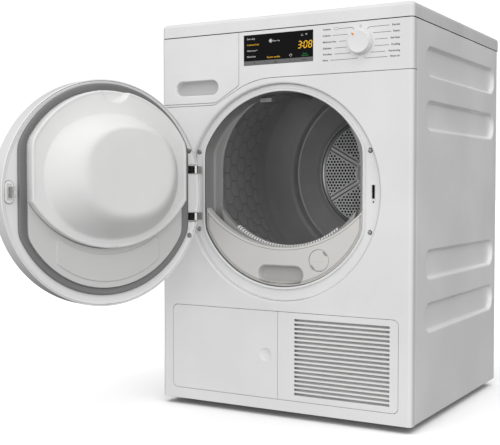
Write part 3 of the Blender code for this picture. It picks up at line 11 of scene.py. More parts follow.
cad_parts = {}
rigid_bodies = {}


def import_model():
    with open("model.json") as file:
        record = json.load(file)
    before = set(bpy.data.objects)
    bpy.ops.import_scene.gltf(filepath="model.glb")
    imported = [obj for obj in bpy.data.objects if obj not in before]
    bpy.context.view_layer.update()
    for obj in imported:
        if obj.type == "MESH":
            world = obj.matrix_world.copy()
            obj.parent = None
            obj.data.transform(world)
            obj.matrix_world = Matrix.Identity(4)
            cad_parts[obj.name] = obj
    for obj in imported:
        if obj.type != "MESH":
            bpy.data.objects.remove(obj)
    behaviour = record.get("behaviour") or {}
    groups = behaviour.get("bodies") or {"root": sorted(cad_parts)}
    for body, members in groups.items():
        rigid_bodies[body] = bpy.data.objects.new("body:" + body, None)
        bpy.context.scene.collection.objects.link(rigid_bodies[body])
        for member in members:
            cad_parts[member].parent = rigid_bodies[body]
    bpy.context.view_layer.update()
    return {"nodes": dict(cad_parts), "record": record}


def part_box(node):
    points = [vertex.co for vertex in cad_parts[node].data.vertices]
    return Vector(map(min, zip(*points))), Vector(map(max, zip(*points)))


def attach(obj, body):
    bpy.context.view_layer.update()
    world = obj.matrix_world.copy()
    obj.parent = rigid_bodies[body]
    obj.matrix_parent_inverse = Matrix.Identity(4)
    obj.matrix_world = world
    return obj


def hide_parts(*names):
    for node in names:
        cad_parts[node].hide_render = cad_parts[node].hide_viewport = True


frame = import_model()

# ---- Where the cabinet and the door stand --------------------------------------------------------------
record = frame["record"]
joints = {joint["name"]: joint for joint in record["behaviour"]["joints"]}
panel_low, panel_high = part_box("front_panel")
SHIFT = Vector(((panel_low.x + panel_high.x) / 2, panel_low.y, 0.0))
CABINET = Matrix.Translation(SHIFT)
hinge = Vector(joints["door_hinge"]["pos_m"]) - SHIFT
HINGE = Vector((hinge.x, hinge.y, 0.0))
OPEN = math.radians(joints["door_hinge"]["range_deg"][0])
DOOR = CABINET @ Matrix.Translation(HINGE) @ Matrix.Rotation(OPEN, 4, "Z") @ Matrix.Translation(-HINGE)


def span(node, base=CABINET):
    """Lowest and highest corner of a CAD node, in the cabinet's frame or the closed door's."""
    back = base.inverted()
    corners = np.array([back @ vertex.co for vertex in frame["nodes"][node].data.vertices])
    return Vector(corners.min(0)), Vector(corners.max(0))


HALF = (panel_high.x - panel_low.x) / 2
WRAP = panel_high.y - panel_low.y
FOOT_LEVEL = panel_low.z
TOP = span("control_fascia")[1].z
lid_low, lid_high = span("top_cover")
DEPTH = span("side_panel_right")[1].y
glass_low, glass_high = span("display_glass")
keys_low, keys_high = span("touch_key_bar")
knob_low, knob_high = span("programme_knob")
KNOB = ((knob_low.x + knob_high.x) / 2, (knob_low.z + knob_high.z) / 2)
KNOB_RADIUS = (knob_high.x - knob_low.x) / 2
tank_low = span("container_front")[0]
flap_low, flap_high = span("service_flap")
grille_low, grille_high = span("grille_panel")
ring_low, ring_high = span("door_surround")
RECESS_Z = (ring_low.z + ring_high.z) / 2
RECESS_RADIUS = (ring_high.z - ring_low.z) / 2 + 0.0003
TUNNEL_Y = ring_high.y - 0.003
filter_low = span("filter_front")[0]
cap_low, cap_high = span("fragrance_cap")
CAP = ((cap_low.x + cap_high.x) / 2, (cap_low.z + cap_high.z) / 2)
drum_low, drum_high = span("drum_shell")
DRUM_Z = (drum_low.z + drum_high.z) / 2
DRUM_RADIUS = (drum_high.z - drum_low.z) / 2 - 0.0012
back_low, back_high = span("drum_back")
BACK_RADIUS = (back_high.z - back_low.z) / 2
shell_low, shell_high = span("door_outer_shell", DOOR)
DOOR_Z = (shell_low.z + shell_high.z) / 2
DOOR_RADIUS = (shell_high.z - shell_low.z) / 2
seal_low, seal_high = span("door_seal", DOOR)
SEAL_Z = (seal_low.z + seal_high.z) / 2
SEAL_RADIUS = (seal_high.z - seal_low.z) / 2
SEAL_HALF = seal_high.x
bowl_low, bowl_high = span("door_bowl", DOOR)
PLATE_HALF = bowl_high.x
PLATE_RADIUS = bowl_high.z - SEAL_Z
pad_low, pad_high = span("door_lower_panel", DOOR)
plate_low, plate_high = span("latch_plate", DOOR)
hook_high = span("latch_hook", DOOR)[1]
LATCH = ((plate_low.x + plate_high.x) / 2, (plate_low.z + plate_high.z) / 2)

# The doorway's and the door's shared outlines
OPENING_Z = 0.4830
LIP_RADIUS, LIP_HALF, LIP_WIDTH = 0.2120, 0.1940, 0.0055
MOUTH_Z, MOUTH_RADIUS, MOUTH_SHOULDER, MOUTH_BOTTOM = 0.5255, 0.1665, 0.4450, 0.3600
PLATE_Y, PLATE_CORNER, PLATE_BOTTOM = 0.0260, 0.4600, bowl_low.z
SEAM = 0.0010
STRIP = 0.0050
SEAM_X, SHOULDER_Z, TOE_X = -0.0975, 0.7058, -0.1600
SEAM_Z = tank_low.z
FASCIA_Z = 0.7187


EASE = 90.0           # the higher, the tighter the eased corners of a flat-sided outline


# ---- Outlines ------------------------------------------------------------------------------------------
def arc(x, z, radius, start, end, count):
    turns = [math.radians(start + (end - start) * i / (count - 1)) for i in range(count)]
    return [(x + radius * math.cos(turn), z + radius * math.sin(turn)) for turn in turns]


def circle(x, z, radius, count=192):
    return arc(x, z, radius, 0, 360 - 360 / count, count)


def flat_sided(z, radius, half, start=0.0, end=358.5, count=240):
    """A circle cut off flat at both sides, its corners eased."""
    made = []
    for turn in np.radians(np.linspace(start, end, count)):
        flat = abs(math.cos(turn)) / half
        reach = (radius ** -EASE + flat ** EASE) ** (-1 / EASE)
        made.append((reach * math.cos(turn), z + reach * math.sin(turn)))
    return made


def hanging(left, bottom, right, count=48):
    half, drop = (right[0] - left[0]) / 2, left[1] - bottom
    radius = (half * half + drop * drop) / (2 * drop)
    reach = math.degrees(math.asin(half / radius))
    return arc((left[0] + right[0]) / 2, bottom + radius, radius, 270 - reach, 270 + reach, count)


def rounded(left, right, low, high, radius, corners=(1, 1, 1, 1), count=10):
    places = ((right, high, 0, -1, -1), (left, high, 90, 1, -1), (left, low, 180, 1, 1),
              (right, low, 270, -1, 1))
    points = []
    for bent, (x, z, start, way_x, way_z) in zip(corners, places):
        if bent:
            points += arc(x + way_x * radius, z + way_z * radius, radius, start, start + 90, count)
        else:
            points.append((x, z))
    return points


def pill(left, right, low, high, count=16):
    radius, middle = (high - low) / 2, (high + low) / 2
    right_end = arc(right - radius, middle, radius, -90, 90, count)
    left_end = arc(left + radius, middle, radius, 90, 270, count)
    return right_end + left_end


def area(loop):
    return sum(a[0] * b[1] - b[0] * a[1] for a, b in zip(loop, loop[1:] + loop[:1])) / 2


def moved_in(loop, distance):
    """The loop with every side moved left of its direction, into the material."""
    made = []
    for before, here, after in zip(loop[-1:] + loop[:-1], loop, loop[1:] + loop[:1]):
        first = Vector((here[0] - before[0], here[1] - before[1])).normalized()
        last = Vector((after[0] - here[0], after[1] - here[1])).normalized()
        side, other = Vector((-first.y, first.x)), Vector((-last.y, last.x))
        mitre = side + other
        mitre = mitre / max(mitre.length, 1e-9)
        reach = distance / max(mitre.dot(side), 0.35)
        made.append((here[0] + mitre.x * reach, here[1] + mitre.y * reach))
    return made


def seen_from(loop, centre, turns):
    """Where rays from centre at the given turns cross the loop."""
    start = np.array(loop) - centre
    end = np.roll(start, -1, axis=0)
    edge = end - start
    ray = np.stack([np.cos(turns), np.sin(turns)], axis=1)
    cross = ray[:, None, 0] * edge[None, :, 1] - ray[:, None, 1] * edge[None, :, 0]
    cross = np.where(np.abs(cross) < 1e-15, 1e-15, cross)
    away = (start[None, :, 0] * edge[None, :, 1] - start[None, :, 1] * edge[None, :, 0]) / cross
    along = (start[None, :, 0] * ray[:, None, 1] - start[None, :, 1] * ray[:, None, 0]) / cross
    away = np.where((along > -1e-6) & (along < 1 + 1e-6) & (away > 0), away, -1.0)
    return ray * away.max(axis=1)[:, None] + centre


def turns_for(centre, corners=(), fine=(), count=224):
    """Even turns round centre, with the corners' own turns and a finer stretch added."""
    turns = set(np.round(np.arange(count) * 2 * math.pi / count, 7))
    for x, z in corners:
        turn = math.atan2(z - centre[1], x - centre[0]) % (2 * math.pi)
        turns = {other for other in turns if abs(other - turn) > 0.004} | {turn}
    for start, end, step in fine:
        turns |= set(np.round(np.arange(math.radians(start), math.radians(end), math.radians(step)), 7))
    return np.array(sorted(turns))


# ---- Meshes --------------------------------------------------------------------------------------------
def place(name, points, faces, look, body="cabinet", base=CABINET, stands_for=(), slot="", sharp=32,
          tidy=True):
    mesh = bpy.data.meshes.new(name)
    mesh.from_pydata([tuple(point) for point in points], [], faces)
    if tidy:
        built = bmesh.new()
        built.from_mesh(mesh)
        bmesh.ops.remove_doubles(built, verts=built.verts, dist=1e-6)
        bmesh.ops.recalc_face_normals(built, faces=built.faces)
        built.to_mesh(mesh)
        built.free()
    if base is not CABINET:
        mesh.transform(base)
        base = Matrix.Identity(4)
    piece = bpy.data.objects.new(name, mesh)
    bpy.context.scene.collection.objects.link(piece)
    return dress(piece, look, body, base, stands_for, sharp)


def dress(piece, look, body, base=CABINET, stands_for=(), sharp=32):
    mesh = piece.data
    mesh.shade_smooth()
    mesh.set_sharp_from_angle(angle=math.radians(sharp))
    if not mesh.materials:
        mesh.materials.append(look)
    evened = piece.modifiers.new("even_shading", "WEIGHTED_NORMAL")
    evened.keep_sharp = True
    piece.matrix_world = base
    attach(piece, body)
    if stands_for:
        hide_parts(*stands_for)
    return piece


def strips(rings, closed=True, first=False, last=False):
    """Points and faces between rings that hold the same number of points."""
    count = len(rings[0])
    points = [tuple(point) for ring in rings for point in ring]
    faces = []
    for level in range(len(rings) - 1):
        for i in range(count if closed else count - 1):
            j = (i + 1) % count
            faces.append((level * count + i, level * count + j, (level + 1) * count + j,
                          (level + 1) * count + i))
    if first:
        faces.append(tuple(range(count))[::-1])
    if last:
        faces.append(tuple((len(rings) - 1) * count + i for i in range(count)))
    return points, faces


def lathe(name, profile, centre, look, steps=160, axis="Y", close=False, ends=False, **more):
    """A profile of (radius, height) turned about an axis through centre."""
    rings = []
    for radius, height in profile:
        ring = []
        for i in range(steps):
            turn = 2 * math.pi * i / steps
            across, up = radius * math.cos(turn), radius * math.sin(turn)
            if axis == "Y":
                ring.append((centre[0] + across, height, centre[1] + up))
            else:
                ring.append((centre[0] + across, centre[1] + up, height))
        rings.append(ring)
    if close:
        rings.append(rings[0])
    points, faces = strips(rings, True, ends, ends)
    return place(name, points, faces, look, **more)


def radial(name, layers, centre, turns, look, shape=None, first=False, last=False, **more):
    """A skin through layers of (outline, y), all seen from one centre. shape moves each point."""
    rings = []
    for loop, y in layers:
        seen = loop if isinstance(loop, np.ndarray) else seen_from(loop, centre, turns)
        ring = [(x, y, z) for x, z in seen]
        rings.append([shape(point) for point in ring] if shape else ring)
    points, faces = strips(rings, True, first, last)
    return place(name, points, faces, look, **more)


def held(loop, limit, centre, turns, least=False):
    """The loop seen from centre, kept inside the limit outline, or outside it where least is set."""
    seen, edge = seen_from(loop, centre, turns) - centre, limit - centre
    ratio = np.linalg.norm(edge, axis=1) / np.linalg.norm(seen, axis=1)
    ratio = np.maximum(ratio, 1.0) if least else np.minimum(ratio, 1.0)
    return seen * ratio[:, None] + centre


def between(outer, inner, share):
    """An outline part of the way from outer to inner; both hold the same number of points."""
    return [(a[0] + (b[0] - a[0]) * share, a[1] + (b[1] - a[1]) * share) for a, b in zip(outer, inner)]


def slab_parts(loops, front, back, edges, steps=4):
    """Points and faces of a slab with holes whose front edges are rounded by edges."""
    points, faces, faced = [], [], []
    for number, (loop, edge) in enumerate(zip(loops, edges)):
        if (area(loop) > 0) != (number == 0):
            loop = loop[::-1]
        base = len(points)
        count = len(loop)
        layers = [(loop, back)]
        for step in range(steps + 1):
            turn = math.pi / 2 * step / steps
            layers.append((moved_in(loop, edge * (1 - math.cos(turn))),
                           front + edge * (1 - math.sin(turn))))
        for ring, y in layers:
            points += [(x, y, z) for x, z in ring]
        for level in range(len(layers) - 1):
            for i in range(count):
                j = (i + 1) % count
                faces.append((base + level * count + i, base + level * count + j,
                              base + (level + 1) * count + j, base + (level + 1) * count + i))
        top = base + (len(layers) - 1) * count
        faced.append([(top + i, Vector((x, z, 0.0))) for i, (x, z) in enumerate(layers[-1][0])])
    numbers = [number for ring in faced for number, _ in ring]
    for triangle in tessellate_polygon([[where for _, where in ring] for ring in faced]):
        faces.append(tuple(numbers[i] for i in triangle))
    return points, faces


def slab(name, loops, front, back, look, edges=0.0008, axis="Y", bend=False, **more):
    if not isinstance(edges, (list, tuple)):
        edges = [edges] * len(loops)
    points, faces = slab_parts(loops, front, back, edges)
    if axis == "Z":      # the loops lie in XY and front is the top
        points = [(x, z, y) for x, y, z in points]
    if axis == "X":      # the loops lie in YZ and front is the outer side
        points = [(y, x, z) for x, y, z in points]
    if bend:
        points, faces = bent_round(points, faces)
    return place(name, points, faces, look, **more)


CORNER = 0.0085
BEND = CORNER * math.pi / 2
FLAT = HALF - CORNER
REACH = FLAT + BEND + WRAP - CORNER      # half the front moulding's width before it is bent round the corners


def bent_round(points, faces):
    """A flat moulding bent round both vertical corners of the cabinet."""
    mesh = bpy.data.meshes.new("flat")
    mesh.from_pydata(points, [], faces)
    work = bmesh.new()
    work.from_mesh(mesh)
    bmesh.ops.remove_doubles(work, verts=work.verts, dist=1e-6)
    for side in (-1, 1):
        for step in range(9):
            where = side * (FLAT + BEND * step / 8)
            geometry = work.verts[:] + work.edges[:] + work.faces[:]
            bmesh.ops.bisect_plane(work, geom=geometry, plane_co=(where, 0, 0), plane_no=(1, 0, 0),
                                   dist=1e-6)
    for vertex in work.verts:
        x, y, z = vertex.co
        side = -1 if x < 0 else 1
        past = abs(x) - FLAT
        if past > 0:
            turn = min(past / CORNER, math.pi / 2)
            inner = CORNER - y
            rest = max(past - BEND, 0.0)
            vertex.co = (side * (FLAT + inner * math.sin(turn)), CORNER - inner * math.cos(turn) + rest,
                         z)
    work.to_mesh(mesh)
    work.free()
    made = [tuple(vertex.co) for vertex in mesh.vertices], [tuple(face.vertices) for face in mesh.polygons]
    bpy.data.meshes.remove(mesh)
    return made


def joined(parts):
    """One list of points and faces from several."""
    points, faces = [], []
    for more_points, more_faces in parts:
        base = len(points)
        points += list(more_points)
        faces += [tuple(base + i for i in face) for face in more_faces]
    return points, faces


def tube(route, radius, steps=10):
    """Points and faces of a round wire along a route, with flat ends."""
    rings = []
    for i, here in enumerate(route):
        before, after = Vector(route[max(i - 1, 0)]), Vector(route[min(i + 1, len(route) - 1)])
        along = (after - before).normalized()
        side = along.orthogonal().normalized() if i == 0 else (side - along * side.dot(along)).normalized()
        up = along.cross(side)
        rings.append([Vector(here) + side * radius * math.cos(2 * math.pi * k / steps)
                      + up * radius * math.sin(2 * math.pi * k / steps) for k in range(steps)])
    return strips(rings, True, True, True)


def line_parts(route, width, y):
    """A printed line of the given width along a route of (x, z)."""
    left, right = [], []
    for i, here in enumerate(route):
        before, after = Vector(route[max(i - 1, 0)]), Vector(route[min(i + 1, len(route) - 1)])
        along = (after - before).normalized()
        side = Vector((-along.y, along.x)) * (width / 2)
        left.append((here[0] + side.x, y, here[1] + side.y))
        right.append((here[0] - side.x, y, here[1] - side.y))
    return strips([left, right], False)


def box_parts(low, high, edge=0.0):
    """Points and faces of a block whose front edges are rounded."""
    loop = [(high[0], low[2]), (high[0], high[2]), (low[0], high[2]), (low[0], low[2])]
    return slab_parts([loop], low[1], high[1], [edge])


def cut_away(piece, boxes, base):
    """Takes boxes out of a closed piece for good."""
    points, faces = joined([box_parts(low, high) for low, high in boxes])
    mesh = bpy.data.meshes.new("cutter")
    mesh.from_pydata(points, [], faces)
    work = bmesh.new()
    work.from_mesh(mesh)
    bmesh.ops.holes_fill(work, edges=work.edges)
    bmesh.ops.recalc_face_normals(work, faces=work.faces)
    work.to_mesh(mesh)
    work.free()
    cutter = bpy.data.objects.new("cutter", mesh)
    bpy.context.scene.collection.objects.link(cutter)
    cutter.matrix_world = base
    modifier = piece.modifiers.new("notch", "BOOLEAN")
    modifier.operation, modifier.object, modifier.solver = "DIFFERENCE", cutter, "EXACT"
    even = piece.modifiers.get("even_shading")
    if even:
        piece.modifiers.remove(even)
    bpy.context.view_layer.update()
    made = bpy.data.meshes.new_from_object(piece.evaluated_get(bpy.context.evaluated_depsgraph_get()))
    piece.modifiers.clear()
    old = piece.data
    piece.data = made
    bpy.data.meshes.remove(old)
    bpy.data.objects.remove(cutter, do_unlink=True)
    made.shade_smooth()
    made.set_sharp_from_angle(angle=math.radians(32))
    even = piece.modifiers.new("even_shading", "WEIGHTED_NORMAL")
    even.keep_sharp = True


def opened(piece, left, right, low, high, reach=0.02):
    """Takes a rectangular hole, seen from the front, out of a skin."""
    work = bmesh.new()
    work.from_mesh(piece.data)
    for where, along in ((left, 0), (right, 0), (low, 2), (high, 2)):
        near = [face for face in work.faces if left - reach < face.calc_center_median().x < right + reach
                and low - reach < face.calc_center_median().z < high + reach]
        edges = {edge for face in near for edge in face.edges}
        verts = {vert for face in near for vert in face.verts}
        point, normal = Vector(), Vector()
        point[along], normal[along] = where, 1.0
        bmesh.ops.bisect_plane(work, geom=list(verts) + list(edges) + near, plane_co=point,
                               plane_no=normal, dist=1e-7)
    gone = [face for face in work.faces if left < face.calc_center_median().x < right
            and low < face.calc_center_median().z < high]
    bmesh.ops.delete(work, geom=gone, context="FACES")
    work.to_mesh(piece.data)
    work.free()


# ---- Materials -----------------------------------------------------------------------------------------
class Wire:
    """A node socket that can be used in arithmetic."""
    def __init__(self, tree, socket):
        self.tree, self.socket = tree, socket

    def math(self, operation, *others, clamp=False):
        node = self.tree.nodes.new("ShaderNodeMath")
        node.operation, node.use_clamp = operation, clamp
        for slot, value in zip(node.inputs, (self, *others)):
            if isinstance(value, Wire):
                self.tree.links.new(value.socket, slot)
            else:
                slot.default_value = value
        return Wire(self.tree, node.outputs[0])

    def __add__(self, other):
        return self.math("ADD", other)

    def __sub__(self, other):
        return self.math("SUBTRACT", other)

    def __mul__(self, other):
        return self.math("MULTIPLY", other)

    def __truediv__(self, other):
        return self.math("DIVIDE", other)

    def step(self, low, high, start=0.0, end=1.0):
        node = self.tree.nodes.new("ShaderNodeMapRange")
        node.interpolation_type = "SMOOTHSTEP"
        for slot, value in zip(node.inputs, (self, low, high, start, end)):
            if isinstance(value, Wire):
                self.tree.links.new(value.socket, slot)
            else:
                slot.default_value = value
        return Wire(self.tree, node.outputs[0])


class Look:
    """A Principled material under construction."""
    def __init__(self, name, colour, roughness, metallic=0.0):
        self.material = bpy.data.materials.new(name)
        self.material.use_nodes = True
        self.tree = self.material.node_tree
        self.shader = self.tree.nodes["Principled BSDF"]
        self.set("Metallic", metallic)
        self.colour = (*colour, 1.0)
        self.roughness = roughness
        coordinates = self.node("ShaderNodeTexCoord")
        self.where = coordinates.outputs["Object"]
        split = self.node("ShaderNodeSeparateXYZ")
        self.link(self.where, split.inputs[0])
        self.x, self.y, self.z = (Wire(self.tree, output) for output in split.outputs)
        self.heights, self.tones = [], []

    def node(self, kind):
        return self.tree.nodes.new(kind)

    def link(self, source, target):
        self.tree.links.new(source, target)

    def set(self, socket, value):
        self.shader.inputs[socket].default_value = value

    def noise(self, scale, detail=3.0, stretch=None):
        texture = self.node("ShaderNodeTexNoise")
        texture.inputs["Scale"].default_value = scale
        texture.inputs["Detail"].default_value = detail
        source = self.where
        if stretch:
            mapping = self.node("ShaderNodeMapping")
            mapping.inputs["Scale"].default_value = stretch
            self.link(source, mapping.inputs["Vector"])
            source = mapping.outputs[0]
        self.link(source, texture.inputs["Vector"])
        return Wire(self.tree, texture.outputs["Fac"])

    def tone(self, mask, colour):
        """Where mask is 1 the colour becomes this one."""
        self.tones.append((mask, (*colour, 1.0)))
        return self

    def height(self, mask, metres):
        self.heights.append((mask, metres))
        return self

    def done(self, grain=1400.0, grain_height=0.00001, mottle=0.03, wear=0.10, cloud=6.0,
             rough_spread=0.08):
        fine, broad = self.noise(grain, 4.0), self.noise(cloud, 5.0)
        mix = self.node("ShaderNodeMix")
        mix.data_type = "RGBA"
        darker = tuple(channel * (1 - mottle) for channel in self.colour[:3])
        lighter = tuple(min(channel * (1 + mottle), 1.0) for channel in self.colour[:3])
        mix.inputs["A"].default_value, mix.inputs["B"].default_value = (*darker, 1.0), (*lighter, 1.0)
        self.link(broad.step(0.3, 0.7).socket, mix.inputs["Factor"])
        colour = mix.outputs["Result"]
        edge = self.node("ShaderNodeNewGeometry")
        worn = Wire(self.tree, edge.outputs["Pointiness"]).step(0.52, 0.60, 0.0, wear)
        tones = [(worn,
                  tuple(min(channel * 1.25 + 0.02,
                            1.0) for channel in self.colour[:3]) + (1.0,))] + self.tones
        for mask, shade in tones:
            blend = self.node("ShaderNodeMix")
            blend.data_type = "RGBA"
            self.link(mask.socket, blend.inputs["Factor"])
            self.link(colour, blend.inputs["A"])
            blend.inputs["B"].default_value = shade
            colour = blend.outputs["Result"]
        self.link(colour, self.shader.inputs["Base Color"])
        rough = broad.step(0.2, 0.8, self.roughness - rough_spread / 2, self.roughness + rough_spread / 2)
        rough = rough + (fine - 0.5) * (rough_spread / 2)
        self.link(rough.math("MAXIMUM", 0.04, clamp=True).socket, self.shader.inputs["Roughness"])
        normal = None
        for mask, metres in [(fine, grain_height)] + self.heights:
            bump = self.node("ShaderNodeBump")
            bump.inputs["Strength"].default_value = 1.0
            bump.inputs["Distance"].default_value = metres
            self.link(mask.socket, bump.inputs["Height"])
            if normal:
                self.link(normal, bump.inputs["Normal"])
            normal = bump.outputs["Normal"]
        self.link(normal, self.shader.inputs["Normal"])
        return self.material


def plain(name, colour, roughness, metallic=0.0, coat=0.0, **more):
    look = Look(name, colour, roughness, metallic)
    if coat:
        look.set("Coat Weight", coat)
        look.set("Coat Roughness", 0.12)
    return look.done(**more)


def hexagons(u, v):
    """Distance from the middle of a hexagonal cell of width 1, and to its walls."""
    root = math.sqrt(3.0)

    def wrapped(value, size, shift):
        return (value - shift).math("FLOORED_MODULO", size) - size / 2
    ax, ay = wrapped(u, 1.0, 0.0), wrapped(v, root, 0.0)
    bx, by = wrapped(u, 1.0, 0.5), wrapped(v, root, root / 2)
    near_a, near_b = ax * ax + ay * ay, bx * bx + by * by
    pick = near_a.math("LESS_THAN", near_b)
    cx, cy = bx + (ax - bx) * pick, by + (ay - by) * pick
    cx, cy = cx.math("ABSOLUTE"), cy.math("ABSOLUTE")
    middle = near_a.math("MINIMUM", near_b).math("SQRT")
    wall = (cx * 0.5 + cy * (root / 2)).math("MAXIMUM", cx)
    return middle, wall


enamel = plain("white_enamel", (0.80, 0.80, 0.80), 0.30, coat=0.25, grain=900, grain_height=0.000006)
plastic = plain("white_plastic", (0.80, 0.80, 0.80), 0.36, coat=0.10, grain=1800, grain_height=0.000008)
lid_white = plain("lid_white", (0.80, 0.80, 0.80), 0.28, coat=0.3, grain=900, grain_height=0.000006)
steel_white = plain("side_steel_white", (0.87, 0.87, 0.87), 0.34, coat=0.2, grain=1100,
                    grain_height=0.000008)
# lighter than the cabinet's enamel: painted light on the door's shell, frame and latch plate
door_lit_white = plain("door_lit_white", (0.86, 0.86, 0.86), 0.34, coat=0.12, grain=1500, grain_height=0.000006)
bowl_white = plain("bowl_white", (0.83, 0.83, 0.825), 0.38, grain=2200, grain_height=0.000008)
# darker than the other whites: painted shade on the door's lower panel and pad, under the bowl
panel_shaded_white = plain("panel_shaded_white", (0.66, 0.66, 0.655), 0.40, grain=2200, grain_height=0.000008)
knob_white = plain("knob_white", (0.82, 0.82, 0.82), 0.30, coat=0.2, grain=2500, grain_height=0.000006)
filter_grey = plain("filter_plastic", (0.66, 0.65, 0.63), 0.42, grain=2600, grain_height=0.000012)
comb_shade = plain("comb_shade", (0.34, 0.34, 0.335), 0.45, grain=2600, grain_height=0.00001)
grille_back = plain("grille_back", (0.80, 0.80, 0.80), 0.5, mottle=0.05)
comb_white = plain("comb_white", (0.74, 0.74, 0.73), 0.40, grain=2600, grain_height=0.00001)
seal_grey = plain("seal_rubber", (0.20, 0.20, 0.20), 0.55, grain=3200, grain_height=0.00002, mottle=0.06)
black_plastic = plain("black_plastic", (0.012, 0.012, 0.012), 0.40, grain=2600, grain_height=0.00001,
                      mottle=0.2)
# near-black: painted shade inside holes, slots and hollows
hole_shade_dark = plain("hole_shade_dark", (0.02, 0.02, 0.02), 0.8, mottle=0.2)
joint_grey = plain("joint_shadow", (0.16, 0.16, 0.16), 0.6, mottle=0.1)
gap_shade = plain("gap_shadow", (0.06, 0.06, 0.06), 0.7, mottle=0.2)
chrome = plain("chrome", (0.62, 0.62, 0.61), 0.16, 1.0, grain=5000, grain_height=0.000003,
               rough_spread=0.06)
screw_steel = plain("screw_steel", (0.34, 0.34, 0.34), 0.24, 1.0, grain=5000, grain_height=0.000003)
zinc = plain("zinc_plate", (0.50, 0.50, 0.49), 0.34, 1.0, grain=420, grain_height=0.00001, mottle=0.12,
             cloud=60)
steel_dark = plain("dark_metal", (0.10, 0.10, 0.10), 0.42, 0.8, grain=900, mottle=0.15)
rubber = plain("foot_rubber", (0.025, 0.025, 0.026), 0.7, grain=2000, grain_height=0.00003, mottle=0.2)
grey_plastic = plain("grey_plastic", (0.32, 0.32, 0.33), 0.45, grain=1800, grain_height=0.00002,
                     mottle=0.06)
foam = plain("filter_foam", (0.05, 0.05, 0.055), 0.95, grain=700, grain_height=0.0005, mottle=0.3)
felt = plain("felt", (0.42, 0.40, 0.37), 0.95, grain=1600, grain_height=0.0003, mottle=0.2)
board = plain("circuit_board", (0.02, 0.10, 0.05), 0.5, grain=300, grain_height=0.00005, mottle=0.3,
              cloud=90)
glass = plain("black_glass", (0.0045, 0.0045, 0.005), 0.10, grain=4000, grain_height=0.000001, mottle=0.1)
glass.node_tree.nodes["Principled BSDF"].inputs["Specular IOR Level"].default_value = 0.07
keys = plain("key_grey", (0.13, 0.13, 0.13), 0.35, coat=0.2, grain=4000, grain_height=0.000002)
print_grey = plain("print_grey", (0.05, 0.05, 0.05), 0.5, mottle=0.08)
print_dark = plain("print_dark", (0.03, 0.03, 0.03), 0.5, mottle=0.1)
orange = plain("orange_mark", (0.83, 0.24, 0.01), 0.4, grain=3000)


def lit(name, colour, power):
    look = Look(name, colour, 0.5)
    look.set("Emission Color", (*colour, 1.0))
    look.set("Emission Strength", power)
    return look.done(grain=4000, grain_height=0.000001)


amber = lit("amber_light", (0.66, 0.36, 0.002), 0.48)
green = lit("green_light", (0.002, 0.16, 0.03), 0.6)
pale = lit("white_light", (0.55, 0.55, 0.55), 0.45)

lens = Look("lamp_lens", (0.40, 0.40, 0.39), 0.18)
lens.set("Transmission Weight", 0.35)
ribs = (lens.x * 2600.0).math("SINE")
lens = lens.height(ribs, 0.00005).done()


def drum_look():
    """Brushed steel with embossed hexagons on the front half of the lining, with painted shade darkening
    their grooves.
    """
    look = Look("drum_steel", (0.56, 0.56, 0.562), 0.40, 0.35)
    turn = (look.z - DRUM_Z).math("ARCTAN2", look.x)
    u = turn * (44 / (2 * math.pi))
    v = look.y * (44 / (2 * math.pi * DRUM_RADIUS))
    middle, wall = hexagons(u, v)
    reach = (look.x * look.x + (look.z - DRUM_Z) * (look.z - DRUM_Z)).math("SQRT")
    zone = look.y.step(0.375, 0.395, 1.0, 0.0) * reach.step(DRUM_RADIUS - 0.012, DRUM_RADIUS - 0.006)
    groove = wall.step(0.425, 0.480)
    pillow = wall.step(0.10, 0.50, 1.0, 0.0)
    # painted shade: the grooves between the hexagons are painted darker
    look.tone(groove * zone * 0.34, (0.20, 0.20, 0.202))
    look.height(groove * zone, -0.0006)
    look.height(pillow * zone, 0.0012)
    brushed = look.noise(60, 2.0, (1.0, 40.0, 1.0))
    look.height(brushed, 0.00002)
    return look.done(grain=1500, grain_height=0.00001, mottle=0.08, wear=0.05)


def back_look():
    """Polished steel disc, perforated between its hub and its rim."""
    look = Look("perforated_steel", (0.78, 0.78, 0.78), 0.32, 0.4)
    pitch = 0.0088
    u, v = look.x / pitch, (look.z - DRUM_Z) / pitch
    middle, wall = hexagons(u, v)
    reach = (look.x * look.x + (look.z - DRUM_Z) * (look.z - DRUM_Z)).math("SQRT")
    zone = reach.step(0.0460, 0.0475) * reach.step(BACK_RADIUS - 0.014, BACK_RADIUS - 0.0125, 1.0, 0.0)
    turn = (look.z - DRUM_Z).math("ARCTAN2", look.x)
    sixth = turn.math("FLOORED_MODULO", math.radians(60)) - math.radians(30)
    beside = (sixth.math("SINE") * reach).math("ABSOLUTE")
    zone = zone * beside.step(0.0105, 0.0115)
    hole = middle.step(0.325, 0.365, 1.0, 0.0) * zone
    look.tone(reach.step(BACK_RADIUS - 0.0120, BACK_RADIUS - 0.0105), (0.13, 0.13, 0.13))
    look.tone(hole, (0.004, 0.004, 0.004))
    look.height(middle.step(0.26, 0.42) * zone, 0.0006)
    return look.done(grain=1500, grain_height=0.000008, mottle=0.08)


drum_steel, perforated = drum_look(), back_look()


